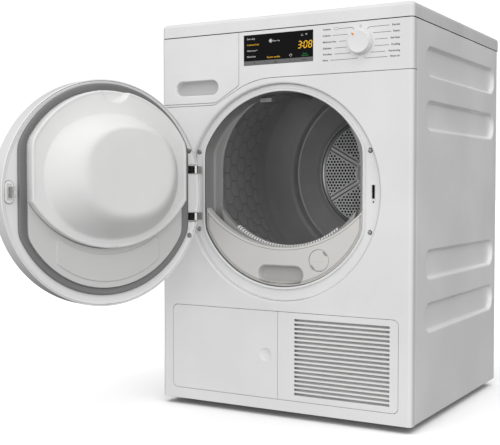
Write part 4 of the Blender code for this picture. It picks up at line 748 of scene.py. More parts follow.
def doorway_shade_look():
    """Enamel with painted shade: the tunnel behind the lip is painted grey, and a near-black band is painted
    right behind the lip.
    """
    look = Look("doorway_enamel", (0.80, 0.80, 0.80), 0.32)
    look.set("Coat Weight", 0.2)
    look.set("Coat Roughness", 0.12)
    up = look.z - OPENING_Z
    reach = (look.x * look.x + up * up).math("SQRT")
    inside = reach.step(LIP_RADIUS - 0.0052, LIP_RADIUS - 0.0047, 1.0, 0.0)
    inside = inside * look.x.math("ABSOLUTE").step(LIP_HALF - 0.0052, LIP_HALF - 0.0047, 1.0, 0.0)
    # painted shade: the tunnel wall behind the lip is painted grey
    look.tone(look.y.step(0.0112, 0.0125) * inside * 0.92, (0.27, 0.27, 0.268))
    # a near-black band painted right behind the lip
    look.tone(look.y.step(0.0078, 0.0082) * look.y.step(0.0108, 0.0118, 1.0, 0.0) * inside,
              (0.05, 0.05, 0.05))
    return look.done(grain=900, grain_height=0.000006)


doorway_shaded_white = doorway_shade_look()


def grip_shade_look(name, colour, front):
    """Plastic painted darker with depth: painted shade inside a finger grip."""
    look = Look(name, colour, 0.40)
    # painted shade: the deeper plastic in the grip is painted darker
    look.tone(look.y.step(front + 0.003, front + 0.015) * 0.55,
              tuple(channel * 0.42 for channel in colour))
    return look.done(grain=1800, grain_height=0.000008)


def duct_look():
    look = Look("fins", (0.52, 0.53, 0.54), 0.35, 0.9)
    look.height((look.x * 2400.0).math("SINE"), 0.0006)
    return look.done(grain=900, mottle=0.1)


fins = duct_look()

# ---- CAD nodes that keep their shape -------------------------------------------------------------------
KEPT = {
    "rear_panel": steel_white, "rear_duct_cover": zinc, "mains_inlet": black_plastic,
        "base_tray": grey_plastic,
    "foot_front_left": rubber, "foot_front_right": rubber, "foot_rear_left": rubber,
        "foot_rear_right": rubber,
    "control_board": board, "condensate_container": comb_white, "container_tray": grey_plastic,
    "drum_front_felt": felt, "front_bulkhead": zinc, "rear_air_duct": grey_plastic,
    "support_roller_left": grey_plastic, "support_roller_right": grey_plastic, "drum_belt": rubber,
    "motor_stator": steel_dark, "motor_shaft": chrome, "fan_impeller": grey_plastic, "evaporator": fins,
    "condenser": fins, "compressor": steel_dark, "plinth_filter": foam, "drum_lamp": lens,
    "drum_rib_1": grey_plastic, "drum_rib_2": grey_plastic, "drum_rib_3": grey_plastic,
}
for node, look in KEPT.items():
    data = frame["nodes"][node].data
    data.materials.clear()
    data.materials.append(look)

# ---- Cabinet -------------------------------------------------------------------------------------------
def unrolled(loop):
    """Side edges that reach past the cabinet end where the wrap ends once it is bent."""
    return [(max(min(x, REACH), -REACH), z) for x, z in loop]


def container_edge(offset):
    low = SEAM_Z - offset
    toe = (TOE_X + offset / 2, low)
    shoulder = (SEAM_X + offset, SHOULDER_Z - offset / 2)
    return [toe, (toe[0] + 0.008, low + 0.0022), (shoulder[0] - 0.004, shoulder[1] - 0.0018),
            (shoulder[0] - 0.0008, shoulder[1] + 0.0012), (shoulder[0], shoulder[1] + 0.005)]


def lower_seam(offset):
    low, high = SEAM_Z - STRIP + offset, FASCIA_Z + offset
    run_out = arc(-0.0142, high - 0.190, 0.190, 119, 90, 28)
    return [(-1, low), (TOE_X - 0.006, low), (TOE_X + 0.001, low + 0.0008), (TOE_X + 0.008, low + 0.0030),
            (TOE_X + 0.014, low + 0.0062), *run_out, (1, high)]


front_region = unrolled([(-1, FOOT_LEVEL), (1, FOOT_LEVEL), *lower_seam(-SEAM)[::-1]])
hatch = rounded(flap_low.x - 0.0008, grille_high.x + 0.0008, flap_low.z - 0.0008, flap_high.z + 0.0008,
                0.0125)
slab("front_panel_skin", [front_region, circle(0, RECESS_Z, RECESS_RADIUS, 224), hatch], 0.0, 0.0028,
     enamel,
     edges=[0.0007, 0.0045, 0.0006], bend=True, stands_for=("front_panel",), slot="white_enamel")

collar = [(RECESS_RADIUS + 0.0002, 0.0044), (RECESS_RADIUS, 0.006), (RECESS_RADIUS, 0.0125),
          (RECESS_RADIUS + 0.003, 0.0125), (RECESS_RADIUS + 0.003, 0.0044)]
lathe("recess_collar", collar, (0, RECESS_Z), enamel, steps=224, close=True)

display = [(glass_low.x - 0.0003, keys_low.z - 0.0003), (glass_high.x + 0.0003, keys_low.z - 0.0003),
           (glass_high.x + 0.0003, glass_high.z + 0.0003), (glass_low.x - 0.0003, glass_high.z + 0.0003)]
fascia_region = unrolled([*lower_seam(0.0), (1, TOP), (SEAM_X + SEAM, TOP), *container_edge(SEAM)[::-1],
                          (-1, SEAM_Z - SEAM)])
slab("fascia_skin", [fascia_region, display, circle(*KNOB, 0.0042, 48)], 0.0, 0.0028, enamel,
     edges=[0.0007, 0.0003, 0.0002], bend=True, stands_for=("control_fascia",), slot="white_enamel")

grip = (-0.2596, -0.1498, 0.6897, 0.7212)
front_region = unrolled([(-1, SEAM_Z), *container_edge(0.0), (SEAM_X, TOP), (-1, TOP)])
slab("container_skin", [front_region, pill(*grip)], 0.0, 0.0028, plastic, edges=[0.0007, 0.0022],
     bend=True,
     body="container", stands_for=("container_front",), slot="white_enamel")


def pocket(name, box, depth, look, body, wall=0.003, start=0.0018, lean=0.0):
    """The smooth inside of a pill-shaped finger grip."""
    left, right, low, high = box
    layers = []
    for inset, y in ((0.0, start), (0.0003, depth * 0.45), (0.0012, depth * 0.68), (0.0035, depth * 0.86),
                     (0.0070, depth * 0.96), (0.0120, depth)):
        loop = pill(left + inset, right - inset, low + inset, high - inset)
        layers.append([(x, y, z + lean * y) for x, z in loop])
    points, faces = strips(layers, True, False, True)
    return place(name, points, faces, look, body=body, sharp=60)


pocket("container_grip", grip, 0.0175, grip_shade_look("container_grip_white", (0.80, 0.80, 0.80), 0.0),
       "container")

loop = rounded(-HALF, HALF, 0.0, lid_high.y, 0.0095, (0.35, 0.35, 1, 1), count=12)
lid_points, lid_faces = slab_parts([loop], -lid_high.z, -lid_low.z, [0.0085], steps=7)
lid_points = [(x, z, -y) for x, y, z in lid_points]
place("lid_skin", lid_points, lid_faces, lid_white, stands_for=("top_cover",), slot="white_lid")
# Dark strips behind the gap under the lid: painted shade.
under = [(HALF - 0.004, lid_low.z + 0.0002), (HALF - 0.004, TOP - 0.006), (-HALF + 0.004, TOP - 0.006),
         (-HALF + 0.004, lid_low.z + 0.0002)]
slab("lid_seal_front", [under], 0.0050, 0.0080, gap_shade, edges=0.0003)
for side in (-1, 1):
    strip = [(0.006, TOP - 0.006), (DEPTH, TOP - 0.006), (DEPTH, lid_low.z + 0.0002),
             (0.006, lid_low.z + 0.0002)]
    points, faces = slab_parts([strip], side * (HALF - 0.0045), side * (HALF - 0.0075), [0.0])
    place(f"lid_seal_side_{side + 1}", [(y, x, z) for x, y, z in points], faces, gap_shade)

POCKET_FRONT, POCKET_REAR, POCKET_HEIGHT, POCKET_DEPTH = 0.0715, 0.546, 0.061, 0.0078
POCKET_LEVELS = (0.742, 0.633, 0.330, 0.2206)


def side_panel(side):
    """A pressed steel side with four soft-edged pockets."""
    front, rear = WRAP + SEAM, DEPTH
    low, high = FOOT_LEVEL + 0.001, TOP
    slope = 0.0072
    ys = {front, front + 0.001, rear - 0.001, rear}
    ys |= set(np.arange(POCKET_FRONT - 0.003, POCKET_FRONT + 0.040, 0.0014))
    ys |= set(np.arange(POCKET_REAR - 0.040, POCKET_REAR + 0.003, 0.0014))
    ys |= set(np.arange(POCKET_FRONT + 0.045, POCKET_REAR - 0.045, 0.03))
    zs = {low, low + 0.001, high - 0.001, high}
    for level in POCKET_LEVELS:
        zs |= set(np.arange(level - POCKET_HEIGHT / 2 - 0.003, level + POCKET_HEIGHT / 2 + 0.003, 0.0014))
    zs |= set(np.arange(0.28, 0.29, 0.01)) | {0.40, 0.48, 0.56, 0.69, 0.10, 0.15}
    ys, zs = sorted(ys), sorted(zs)
    radius = POCKET_HEIGHT / 2
    rings = []
    for z in zs:
        row = []
        for y in ys:
            depth = 0.0
            for level in POCKET_LEVELS:
                ahead = min(max(y, POCKET_FRONT + radius), POCKET_REAR - radius)
                inside = radius - math.hypot(y - ahead, z - level)
                share = min(max((inside + 0.001) / slope, 0.0), 1.0)
                depth = max(depth, POCKET_DEPTH * share * share * (3 - 2 * share))
            edge = 0.0006 if y in (ys[0], ys[-1]) or z in (zs[0], zs[-1]) else 0.0
            row.append((side * (HALF - depth - edge), y, z))
        rings.append(row)
    points, faces = strips(rings, False)
    name = "right" if side > 0 else "left"
    place(f"side_skin_{name}", points, faces, steel_white, stands_for=(f"side_panel_{name}",),
          slot="white_steel", sharp=50)


side_panel(1)
side_panel(-1)

# the joints between the front mouldings, closed from behind
ends = (FLAT - 0.002, SEAM / 2)
box_route = [(-ends[0], SEAM_Z - ends[1]), *container_edge(ends[1]), (SEAM_X + ends[1], TOP - 0.001)]
strip_route = [(max(min(x, ends[0]), -ends[0]), z) for x, z in lower_seam(-ends[1])]
seam_routes = [box_route, strip_route]
points, faces = joined([line_parts(route, 0.0050, 0.0030) for route in seam_routes])
place("seam_backing", points, faces, joint_grey)

# the joint between the front mouldings and the sides, closed from behind
for side in (-1, 1):
    strip = [(WRAP - 0.004, FOOT_LEVEL + 0.004), (WRAP + 0.006, FOOT_LEVEL + 0.004), (WRAP + 0.006, TOP),
             (WRAP - 0.004, TOP)]
    slab(f"side_joint_{side + 1}", [strip], side * (HALF - 0.0016), side * (HALF - 0.0024), joint_grey,
         edges=0.0, axis="X")

# ---- Service flap and grille ---------------------------------------------------------------------------
dimple = (-0.0310, 0.1310, 0.0137)
shape = rounded(flap_low.x, flap_high.x, flap_low.z, flap_high.z, 0.012, (0, 1, 1, 0))
slab("service_flap_skin", [shape, circle(*dimple, 64)], 0.0, 0.0028, plastic, edges=[0.0007, 0.0006],
     body="flap",
     stands_for=("service_flap",), slot="white_enamel")
lathe("flap_dimple", [(dimple[2] + 0.0001, 0.0006), (dimple[2] * 0.94, 0.0010),
                      (dimple[2] * 0.72, 0.0020),
                      (dimple[2] * 0.36, 0.0026), (0.0, 0.0028)], dimple[:2], plastic, steps=64,
      body="flap")

SLOTS, SLOT_LEFT, SLOT_RIGHT, SLOT_LOW, SLOT_HIGH, SLOT = 18, 0.0380, 0.2515, 0.0533, 0.2090, 0.0050
pitch = (SLOT_HIGH - SLOT_LOW) / (SLOTS - 1)
levels = [SLOT_LOW + pitch * i for i in range(SLOTS)]
shape = rounded(grille_low.x, grille_high.x, grille_low.z, grille_high.z, 0.012, (1, 0, 0, 1))
slots = [rounded(SLOT_LEFT, SLOT_RIGHT, level - SLOT / 2, level + SLOT / 2, 0.0011,
                 count=4) for level in levels]
slab("grille_skin", [shape] + slots, 0.0, 0.0028, plastic, edges=[0.0007] + [0.0009] * SLOTS,
     stands_for=("grille_panel",), slot="white_enamel")
fin_parts = []
for level in levels:
    section = [(0.0016, level + 0.0038), (0.0105, level - 0.0012), (0.0112, level - 0.0006),
               (0.0022, level + 0.0046)]
    fin_ends = (SLOT_LEFT - 0.002, SLOT_RIGHT + 0.002)
    fin_parts.append(strips([[(x, y, z) for y, z in section] for x in fin_ends], True, True, True))
points, faces = joined(fin_parts)
place("grille_fins", points, faces, comb_white)
back_of = [(SLOT_LEFT - 0.004, SLOT_LOW - 0.006), (SLOT_RIGHT + 0.004, SLOT_LOW - 0.006),
           (SLOT_RIGHT + 0.004, SLOT_HIGH + 0.006), (SLOT_LEFT - 0.004, SLOT_HIGH + 0.006)]
slab("grille_mesh", [back_of], 0.0116, 0.0118, grille_back, edges=0.0)

# ---- Display, knob and printed words -------------------------------------------------------------------
shape = rounded(glass_low.x, glass_high.x, glass_low.z, glass_high.z, 0.0006, (1, 1, 0, 0), count=3)
slab("display_pane", [shape], 0.00005, 0.0018, glass, edges=0.0002, stands_for=("display_glass",),
     slot="black_glass")
KEY_SPLITS = (0.0, 0.305, 0.615, 0.745, 1.0)
key_parts = []
for left, right in zip(KEY_SPLITS, KEY_SPLITS[1:]):
    width = keys_high.x - keys_low.x
    low_x, high_x = keys_low.x + width * left + 0.00012, keys_low.x + width * right - 0.00012
    key_parts.append(slab_parts([[(low_x, keys_low.z), (high_x, keys_low.z), (high_x, keys_high.z),
                                  (low_x, keys_high.z)]], 0.00005, 0.0018, [0.00015]))
points, faces = joined(key_parts)
place("touch_keys", points, faces, keys, stands_for=("touch_key_bar",), slot="key_grey")

INK = -0.00004       # print stands this far proud of the fascia
SCREEN = 0.00001


def lettering(name, items, y, look, weight=0.0):
    """Words laid on the plane at y: (text, x, z, height, align)."""
    parts = []
    for text, x, z, size, align in items:
        data = bpy.data.curves.new("word", "FONT")
        data.body, data.size, data.align_x, data.resolution_u = text, size, align, 3
        data.offset = weight
        word = bpy.data.objects.new("word", data)
        bpy.context.scene.collection.objects.link(word)
        bpy.context.view_layer.update()
        flat = bpy.data.meshes.new_from_object(word.evaluated_get(bpy.context.evaluated_depsgraph_get()))
        parts.append(([(x + point.co.x, y, z + point.co.y) for point in flat.vertices],
                      [tuple(face.vertices) for face in flat.polygons]))
        bpy.data.objects.remove(word, do_unlink=True)
        bpy.data.curves.remove(data)
        bpy.data.meshes.remove(flat)
    points, faces = joined(parts)
    return place(name, points, faces, look)


def filled(loop, y):
    return [(x, y, z) for x, z in loop], [tuple(range(len(loop)))]


WORD = 0.0052
LEFT_ROWS = ((0.8065, "Cottons"), (0.7937, "Cottons"), (0.7809, "Minimum iron"), (0.7681, "Delicates"),
             (0.7560, "Woollens"), (0.7440, "Shirts"))
RIGHT_ROWS = ((0.8047, "Express"), (0.7922, "Denim"), (0.7793, "Bed linen"), (0.7663, "Proofing"),
              (0.7541, "Pre-ironing"), (0.7435, "Warm air"))
words = [(text, 0.1030, z, WORD, "LEFT") for z, text in LEFT_ROWS]
words += [(text, 0.2700, z, WORD, "RIGHT") for z, text in RIGHT_ROWS]
lettering("programme_words", words, INK, print_grey, 0.00016)
LEADERS = (((0.1385, 0.8078), (0.1670, 0.8078), (0.1700, 0.8072), (0.1715, 0.8030)),
           ((0.1250, 0.7950), (0.1585, 0.7950)),
           ((0.1400, 0.7822), (0.1547, 0.7822)),
           ((0.1290, 0.7694), (0.1570, 0.7694)),
           ((0.1290, 0.7573), (0.1656, 0.7573)),
           ((0.1200, 0.7453), (0.1770, 0.7453), (0.1790, 0.7460), (0.1802, 0.7479)),
           ((0.2480, 0.8060), (0.2080, 0.8060), (0.2040, 0.8050), (0.2012, 0.8018)),
           ((0.2520, 0.7935), (0.2130, 0.7935)),
           ((0.2445, 0.7806), (0.2180, 0.7806)),
           ((0.2470, 0.7676), (0.2164, 0.7676)),
           ((0.2395, 0.7554), (0.2080, 0.7554)),
           ((0.2440, 0.7448), (0.1980, 0.7448), (0.1960, 0.7455), (0.1946, 0.7472)))
parts = [line_parts(route, 0.00090, INK) for route in LEADERS]
oval = pill(0.1285, 0.1370, 0.8056, 0.8104, 8)
parts.append(line_parts(oval + oval[:1], 0.0005, INK))
off_mark = circle(KNOB[0], KNOB[1] + 0.0318, 0.0022, 24)
parts.append(line_parts(off_mark + off_mark[:1], 0.0006, INK))
points, faces = joined(parts)
place("programme_lines", points, faces, print_grey)

lettering("screen_words_white", [("Extra dry", -0.0765, 0.8010, 0.0052, "LEFT"),
                                 ("Hand iron +", -0.0765, 0.7760, 0.0052, "LEFT"),
                                 ("Hand iron", -0.0765, 0.7635, 0.0052, "LEFT"),
                                 ("Auto dry", -0.0140, 0.7935, 0.0046, "LEFT")],
          SCREEN, pale)
lettering("screen_words_amber", [("Cupboard dry", -0.0765, 0.7885, 0.0052, "LEFT"),
                                 ("Gentle tumble", -0.0280, 0.7597, 0.0054, "LEFT")],
          SCREEN, amber)
lettering("screen_words_green", [("Quiet", 0.0620, 0.7622, 0.0042, "CENTER"),
                                 ("operation", 0.0620, 0.7586, 0.0042, "CENTER")],
          SCREEN, green)
SEGMENTS = {"3": "abcdg", "0": "abcdef", "8": "abcdefg"}


def digit_parts(figure, x, z, width, tall, slant):
    """Bars of a seven-bar figure whose lower left corner is at (x, z)."""
    bar, gap, half = 0.0020, 0.0003, tall / 2
    runs = {"a": ((0, tall), (width, tall)), "b": ((width, tall), (width, half)),
            "c": ((width, half), (width, 0)),
            "d": ((0, 0), (width, 0)), "e": ((0, half), (0, 0)), "f": ((0, tall), (0, half)),
            "g": ((0, half), (width, half))}
    made = []
    for key in SEGMENTS[figure]:
        (x0, z0), (x1, z1) = runs[key]
        along = Vector((x1 - x0, z1 - z0)).normalized()
        side = Vector((-along.y, along.x)) * bar / 2
        start, end = Vector((x0, z0)) + along * gap, Vector((x1, z1)) - along * gap
        inner, outer = along * (bar / 2), start
        loop = [start, start + inner + side, end - inner + side, end, end - inner - side,
                start + inner - side]
        made.append(([(x + p.x + slant * p.y, SCREEN, z + p.y) for p in loop], [tuple(range(6))]))
    return made


parts = []
for figure, left in (("3", 0.0455), ("0", 0.0590), ("8", 0.0700)):
    parts += digit_parts(figure, left, 0.7755, 0.0068, 0.0135, 0.14)
for rise in (0.0040, 0.0096):
    dot = rounded(0.0548, 0.0568, 0.7755 + rise - 0.001, 0.7755 + rise + 0.001, 0.0005, count=3)
    parts.append(filled([(x + 0.14 * rise, z) for x, z in dot], SCREEN))
points, faces = joined(parts)
place("screen_time", points, faces, amber)

parts = []
disc_mark = circle(-0.0188, 0.7955, 0.0035, 24)
parts.append(line_parts(disc_mark + disc_mark[:1], 0.0007, SCREEN))
parts.append(filled(rounded(-0.0208, -0.0168, 0.7936, 0.7974, 0.0010, count=3), SCREEN))
sun_mark = circle(0.0655, 0.8030, 0.0016, 16)
parts.append(line_parts(sun_mark + sun_mark[:1], 0.0006, SCREEN))
parts.append(line_parts([(0.0535, 0.8008), (0.0557, 0.8048), (0.0579, 0.8008), (0.0535, 0.8008)], 0.0006,
                        SCREEN))
parts.append(line_parts([(0.0290, 0.7652), (0.0322, 0.7622), (0.0290, 0.7592), (0.0258, 0.7622),
                         (0.0290, 0.7652)], 0.0007, SCREEN))
points, faces = joined(parts)
place("screen_signs", points, faces, pale)

level = (keys_low.z + keys_high.z) / 2
parts = []
width = keys_high.x - keys_low.x
for share in (0.155, 0.46, 0.68):
    ring = circle(keys_low.x + width * share, level, 0.0019 if share < 0.6 else 0.0012, 18)
    parts.append(line_parts(ring + ring[:1], 0.0007, SCREEN))
parts.append(filled(rounded(keys_low.x + width * 0.450, keys_low.x + width * 0.495, level - 0.0022,
                            level - 0.0006, 0.0004, count=3), SCREEN))
parts.append(filled(rounded(keys_low.x + width * 0.845, keys_low.x + width * 0.875, level - 0.0008,
                            level + 0.0008, 0.0003, count=3), SCREEN))
parts.append(filled(rounded(keys_low.x + width * 0.885, keys_low.x + width * 0.905, level - 0.0012,
                            level + 0.0012, 0.0003, count=3), SCREEN))
points, faces = joined(parts)
place("key_signs", points, faces, print_dark)

R = KNOB_RADIUS
profile = [(0.0, -0.0128), (R * 0.55, -0.0130), (R * 0.80, -0.0136), (R * 0.855, -0.0139),
           (R * 0.885, -0.0138),
           (R * 0.910, -0.0131), (R * 0.925, -0.0118), (R * 0.955, -0.0060), (R * 0.962, -0.0046),
           (R * 0.975, -0.0038),
           (R * 0.992, -0.0035), (R, -0.0029), (R, -0.0011), (R * 0.985, -0.0006), (0.004, -0.0006),
           (0.004, 0.010), (0.0, 0.010)]
lathe("knob_skin", profile, KNOB, knob_white, body="knob", stands_for=("programme_knob",),
      slot="white_enamel")
angle = math.radians(128)
mark = rounded(-0.0016, 0.0016, -0.0030, 0.0030, 0.0009, count=5)
cos, sin = math.cos(angle - math.pi / 2), math.sin(angle - math.pi / 2)
around = 0.80 * R
mark_points = [(KNOB[0] + around * math.cos(angle) + x * cos - z * sin, -0.01395,
                KNOB[1] + around * math.sin(angle) + x * sin + z * cos)
               for x, z in mark]
back_points = [(x, -0.0130, z) for x, y, z in mark_points]
points, faces = strips([mark_points, back_points], True, True, False)
place("knob_mark", points, faces, orange, body="knob")

# ---- Doorway -------------------------------------------------------------------------------------------
CENTRE = (0.0, OPENING_Z)
mouth = arc(0, MOUTH_Z, MOUTH_RADIUS, 0, 180, 80)
mouth += hanging((-MOUTH_RADIUS, MOUTH_SHOULDER), MOUTH_BOTTOM, (MOUTH_RADIUS, MOUTH_SHOULDER), 60)
turns = turns_for(CENTRE, [(-MOUTH_RADIUS, MOUTH_SHOULDER), (MOUTH_RADIUS, MOUTH_SHOULDER)])


def lip(inset):
    return flat_sided(CENTRE[1], LIP_RADIUS - inset, LIP_HALF - inset)


def side_recess(point):
    """The flat plates beside the doorway lie a little deeper than the ring."""
    x, y, z = point
    reach = abs(x) - LIP_HALF
    if reach < 0.001 or y < 0.0095 or y > 0.012:
        return point
    beside = min(max((0.098 - abs(z - 0.479)) / 0.006, 0.0), 1.0)
    return (x, y + 0.0016 * beside * min(max((reach - 0.001) / 0.003, 0.0), 1.0), z)


PLATE = 0.0100
layers = [(circle(0, RECESS_Z, RECESS_RADIUS - 0.0003), PLATE + 0.0020),
          (circle(0, RECESS_Z, RECESS_RADIUS - 0.0004), PLATE + 0.0003),
          (circle(0, RECESS_Z, RECESS_RADIUS - 0.0009), PLATE),
          (circle(0, RECESS_Z, RECESS_RADIUS - 0.0060), PLATE),
          (lip(-0.0038), PLATE + 0.0001), (lip(-0.0022), PLATE), (lip(-0.0010), PLATE - 0.0005),
          (lip(-0.0003), PLATE - 0.0015),
          (lip(0.0), PLATE - 0.0026), (lip(0.0004), PLATE - 0.0035), (lip(0.0013), PLATE - 0.0040),
          (lip(0.0024), PLATE - 0.0040), (lip(0.0042), PLATE - 0.0036), (lip(0.0051), PLATE - 0.0028),
          (lip(0.0055), PLATE - 0.0012),
          (lip(0.0056), 0.0250), (lip(0.0058), TUNNEL_Y - 0.0080)]
MOUTH_RIM = 0.004
mouth_out = arc(0, MOUTH_Z, MOUTH_RADIUS + MOUTH_RIM, 0, 180, 80)
mouth_out += hanging((-MOUTH_RADIUS - MOUTH_RIM, MOUTH_SHOULDER), MOUTH_BOTTOM - MOUTH_RIM,
                     (MOUTH_RADIUS + MOUTH_RIM, MOUTH_SHOULDER), 60)
wall_end = seen_from(lip(0.0060), CENTRE, turns)
mouth_edge = held(mouth_out, wall_end, CENTRE, turns)
for inset, short in ((0.0066, 0.0035), (0.0086, 0.0010), (0.0130, 0.0)):
    layers.append((held(lip(inset), mouth_edge, CENTRE, turns, True), TUNNEL_Y - short))
mouth_end = held(mouth, wall_end, CENTRE, turns)
layers += [(mouth_edge, TUNNEL_Y), (mouth_edge * 0.25 + mouth_end * 0.75, TUNNEL_Y + 0.0008),
           (mouth_end, TUNNEL_Y + 0.0030)]
# The doorway enamel carries painted shade in its tunnel.
doorway = radial("doorway_ring", layers, CENTRE, turns, doorway_shaded_white, shape=side_recess,
                 stands_for=("door_surround",), slot="white_enamel",
       sharp=45)


def cross_screw(name, x, z, y, look, body, base, way, node, radius=0.0042, slot="chrome"):
    """A domed screw head with a cross recess. way is -1 where the head faces -Y."""
    arm, wide = radius * 0.55, radius * 0.13
    cross = [(arm, wide), (wide, wide), (wide, arm), (-wide, arm), (-wide, wide), (-arm, wide),
             (-arm, -wide), (-wide, -wide), (-wide, -arm), (wide, -arm), (wide, -wide), (arm, -wide)]
    corners = [(x + a, z + b) for a, b in cross]
    turns = turns_for((x, z), corners, count=48)
    layers = [(corners, y + way * 0.0006), (corners, y + way * 0.0021)]
    for share, height in ((0.62, 0.00215), (0.72, 0.0020), (0.84, 0.0016), (0.94, 0.0009), (1.0, 0.0002),
                          (1.0, -0.0002)):
        layers.append((circle(x, z, radius * share, 48), y + way * height))
    radial(name, layers, (x, z), turns, look, first=True, body=body, base=base, stands_for=(node,),
           slot=slot, sharp=40)


for node in ("ring_screw_upper_right", "ring_screw_lower_right", "ring_screw_upper_left",
             "ring_screw_lower_left"):
    low, high = span(node)
    middle = ((low.x + high.x) / 2, (low.z + high.z) / 2)
    cross_screw(node + "_head", *middle, PLATE + 0.0014, screw_steel, "cabinet", CABINET, -1, node)
    # a dark ring round each screw head: painted shade in its well
    lathe(node + "_well", [(0.0040, PLATE + 0.0014), (0.0054, PLATE + 0.0013), (0.0056, PLATE + 0.0018)],
          middle, gap_shade, steps=40)
for node in ("door_screw_upper", "door_screw_lower"):
    low, high = span(node, DOOR)
    middle = ((low.x + high.x) / 2, (low.z + high.z) / 2)
    cross_screw(node + "_head", *middle, -0.0001, screw_steel, "door", DOOR, 1, node, radius=0.0046)
    # a dark ring round each screw head: painted shade in its well
    lathe(node + "_well", [(0.0044, -0.0001), (0.0056, 0.0001), (0.0059, -0.0005)], middle, gap_shade,
          steps=40, body="door", base=DOOR)

slot_x, slot_z = 0.2110, 0.4785
frame_loop = rounded(slot_x - 0.0046, slot_x + 0.0046, slot_z - 0.0165, slot_z + 0.0165, 0.0016, count=5)
hole_loop = rounded(slot_x - 0.0033, slot_x + 0.0033, slot_z - 0.0138, slot_z + 0.0138, 0.0008, count=4)
opened(doorway, slot_x - 0.0038, slot_x + 0.0038, slot_z - 0.0143, slot_z + 0.0143)
slab("latch_slot_rim", [frame_loop, hole_loop], PLATE + 0.0002, PLATE + 0.0040, plastic,
     edges=[0.0006, 0.0004])
# near-black walls inside the latch slot: painted shade
walls = [[(x, y, z) for x, z in moved_in(hole_loop, -0.0003)] for y in (PLATE + 0.0020, PLATE + 0.0290)]
points, faces = strips(walls, True, False, True)
place("latch_slot_dark", points, faces, hole_shade_dark)
# a near-black dot below the latch slot: painted shade
lathe("latch_pin_dark", [(0.0, PLATE + 0.0013), (0.0016, PLATE + 0.0013), (0.0018, PLATE + 0.0015)],
      (slot_x, slot_z - 0.0205),
      hole_shade_dark, steps=24)

# ---- Filter --------------------------------------------------------------------------------------------
ARC_RADIUS, ARC_Z = 0.2563, 0.6163
side = LIP_HALF - LIP_WIDTH - 0.0008
reach = math.degrees(math.asin(side / ARC_RADIUS))
radius = LIP_RADIUS - LIP_WIDTH - 0.0008
top_edge = arc(0, ARC_Z, ARC_RADIUS, 270 + reach, 270 - reach, 90)
corner = math.degrees(math.atan2(CENTRE[1] - top_edge[0][1], side)) + 0.4
low_edge = flat_sided(CENTRE[1], radius, side, 180 + corner, 360 - corner, 110)
FACE = filter_low.y + 0.0008
filter_grip = (-0.0560, 0.0520, 0.2850, 0.3210)
slab("filter_skin", [top_edge + low_edge, pill(*filter_grip), circle(*CAP, 0.0231, 96)], FACE,
     FACE + 0.020, filter_grey,
     edges=[0.0026, 0.0030, 0.0005], body="filter", stands_for=("filter_front",), slot="filter_plastic",
     sharp=40)
pocket("filter_grip", filter_grip, FACE + 0.0165,
       grip_shade_look("filter_grip_plastic", (0.66, 0.65, 0.63), FACE), "filter", start=FACE + 0.0020)
lines = [flat_sided(CENTRE[1], radius - inset, side - inset, 183 + corner, 357 - corner, 120)
         for inset in (0.0040, 0.0064)]
lines.append(arc(0, ARC_Z, ARC_RADIUS + 0.0052, 270 + reach - 2.5, 270 - reach + 2.5, 90))
points, faces = joined([tube([(x, FACE + 0.0002, z) for x, z in line], 0.00042, 6) for line in lines])
place("filter_lower_line", points, faces, print_grey, body="filter")

R = (cap_high.x - cap_low.x) / 2
cap_profile = [(0.0, FACE - 0.0006), (R * 0.86, FACE - 0.0006), (R * 0.93, FACE - 0.0003),
               (R * 0.985, FACE + 0.0006), (R, FACE + 0.0016),
               (R, FACE + 0.0080)]
lathe("cap_skin", cap_profile, CAP, filter_grey, steps=96, body="cap", stands_for=("fragrance_cap",),
      slot="filter_plastic")
parts = []
for start in (28, 208):
    scoop = arc(CAP[0], CAP[1], R * 0.995, start, start + 34, 12)
    scoop += arc(CAP[0], CAP[1], R * 0.80, start + 30, start + 4, 8)
    parts.append(slab_parts([scoop], FACE - 0.00075, FACE + 0.0002, [0.0002]))
points, faces = joined(parts)
place("cap_notches", points, faces, grey_plastic, body="cap")
bar = rounded(CAP[0] - R * 0.62, CAP[0] + R * 0.62, CAP[1] - 0.0014, CAP[1] + 0.0014, 0.0013, count=5)
slab("cap_bar", [bar], FACE - 0.0008, FACE, filter_grey, edges=0.0002, body="cap")

# comb plate with rounded teeth behind the filter
sieve_low, sieve_high = span("lint_sieve")
shape_side = MOUTH_RADIUS - 0.002
upper = hanging((-shape_side, MOUTH_SHOULDER - 0.002), MOUTH_BOTTOM - 0.001,
                (shape_side, MOUTH_SHOULDER - 0.002), 60)
lower = hanging((-0.150, 0.390), 0.300, (0.150, 0.390), 40)
slab("comb_skin", [upper + lower[::-1]], sieve_low.y, sieve_high.y, comb_shade, edges=0.0012,
     body="sieve",
     stands_for=("lint_sieve",), slot="filter_plastic")
parts = []
half, drop = MOUTH_RADIUS - 0.004, MOUTH_SHOULDER - MOUTH_BOTTOM
arc_radius = (half * half + drop * drop) / (2 * drop)
middle_z = MOUTH_BOTTOM + arc_radius
for number in range(-19, 20):
    turn = math.radians(270 + number * 1.95)
    out = Vector((math.cos(turn), math.sin(turn)))
    along = Vector((-out.y, out.x))
    base = Vector((0.0, middle_z)) + out * (arc_radius - 0.0012)
    route = [(base.x - out.x * lift, sieve_low.y + 0.0008 + ahead, base.y - out.y * lift)
             for lift, ahead in ((-0.012, 0.0), (-0.002, 0.0), (0.0012, 0.0020), (0.0020, 0.0060),
                                 (0.0016, 0.0120), (-0.004, 0.0150))]
    rings = []
    for i, (x, y, z) in enumerate(route):
        width = 0.0024 if i < 4 else 0.0017
        lift = 0.0012
        rings.append([(x + along.x * width * a - out.x * lift * b, y,
                       z + along.y * width * a - out.y * lift * b)
                      for a, b in ((-1, 0), (-0.8, 0.7), (0, 1), (0.8, 0.7), (1, 0), (0.8, -0.7),
                                   (0, -1), (-0.8, -0.7))])
    parts.append(strips(rings, True, True, True))
points, faces = joined(parts)
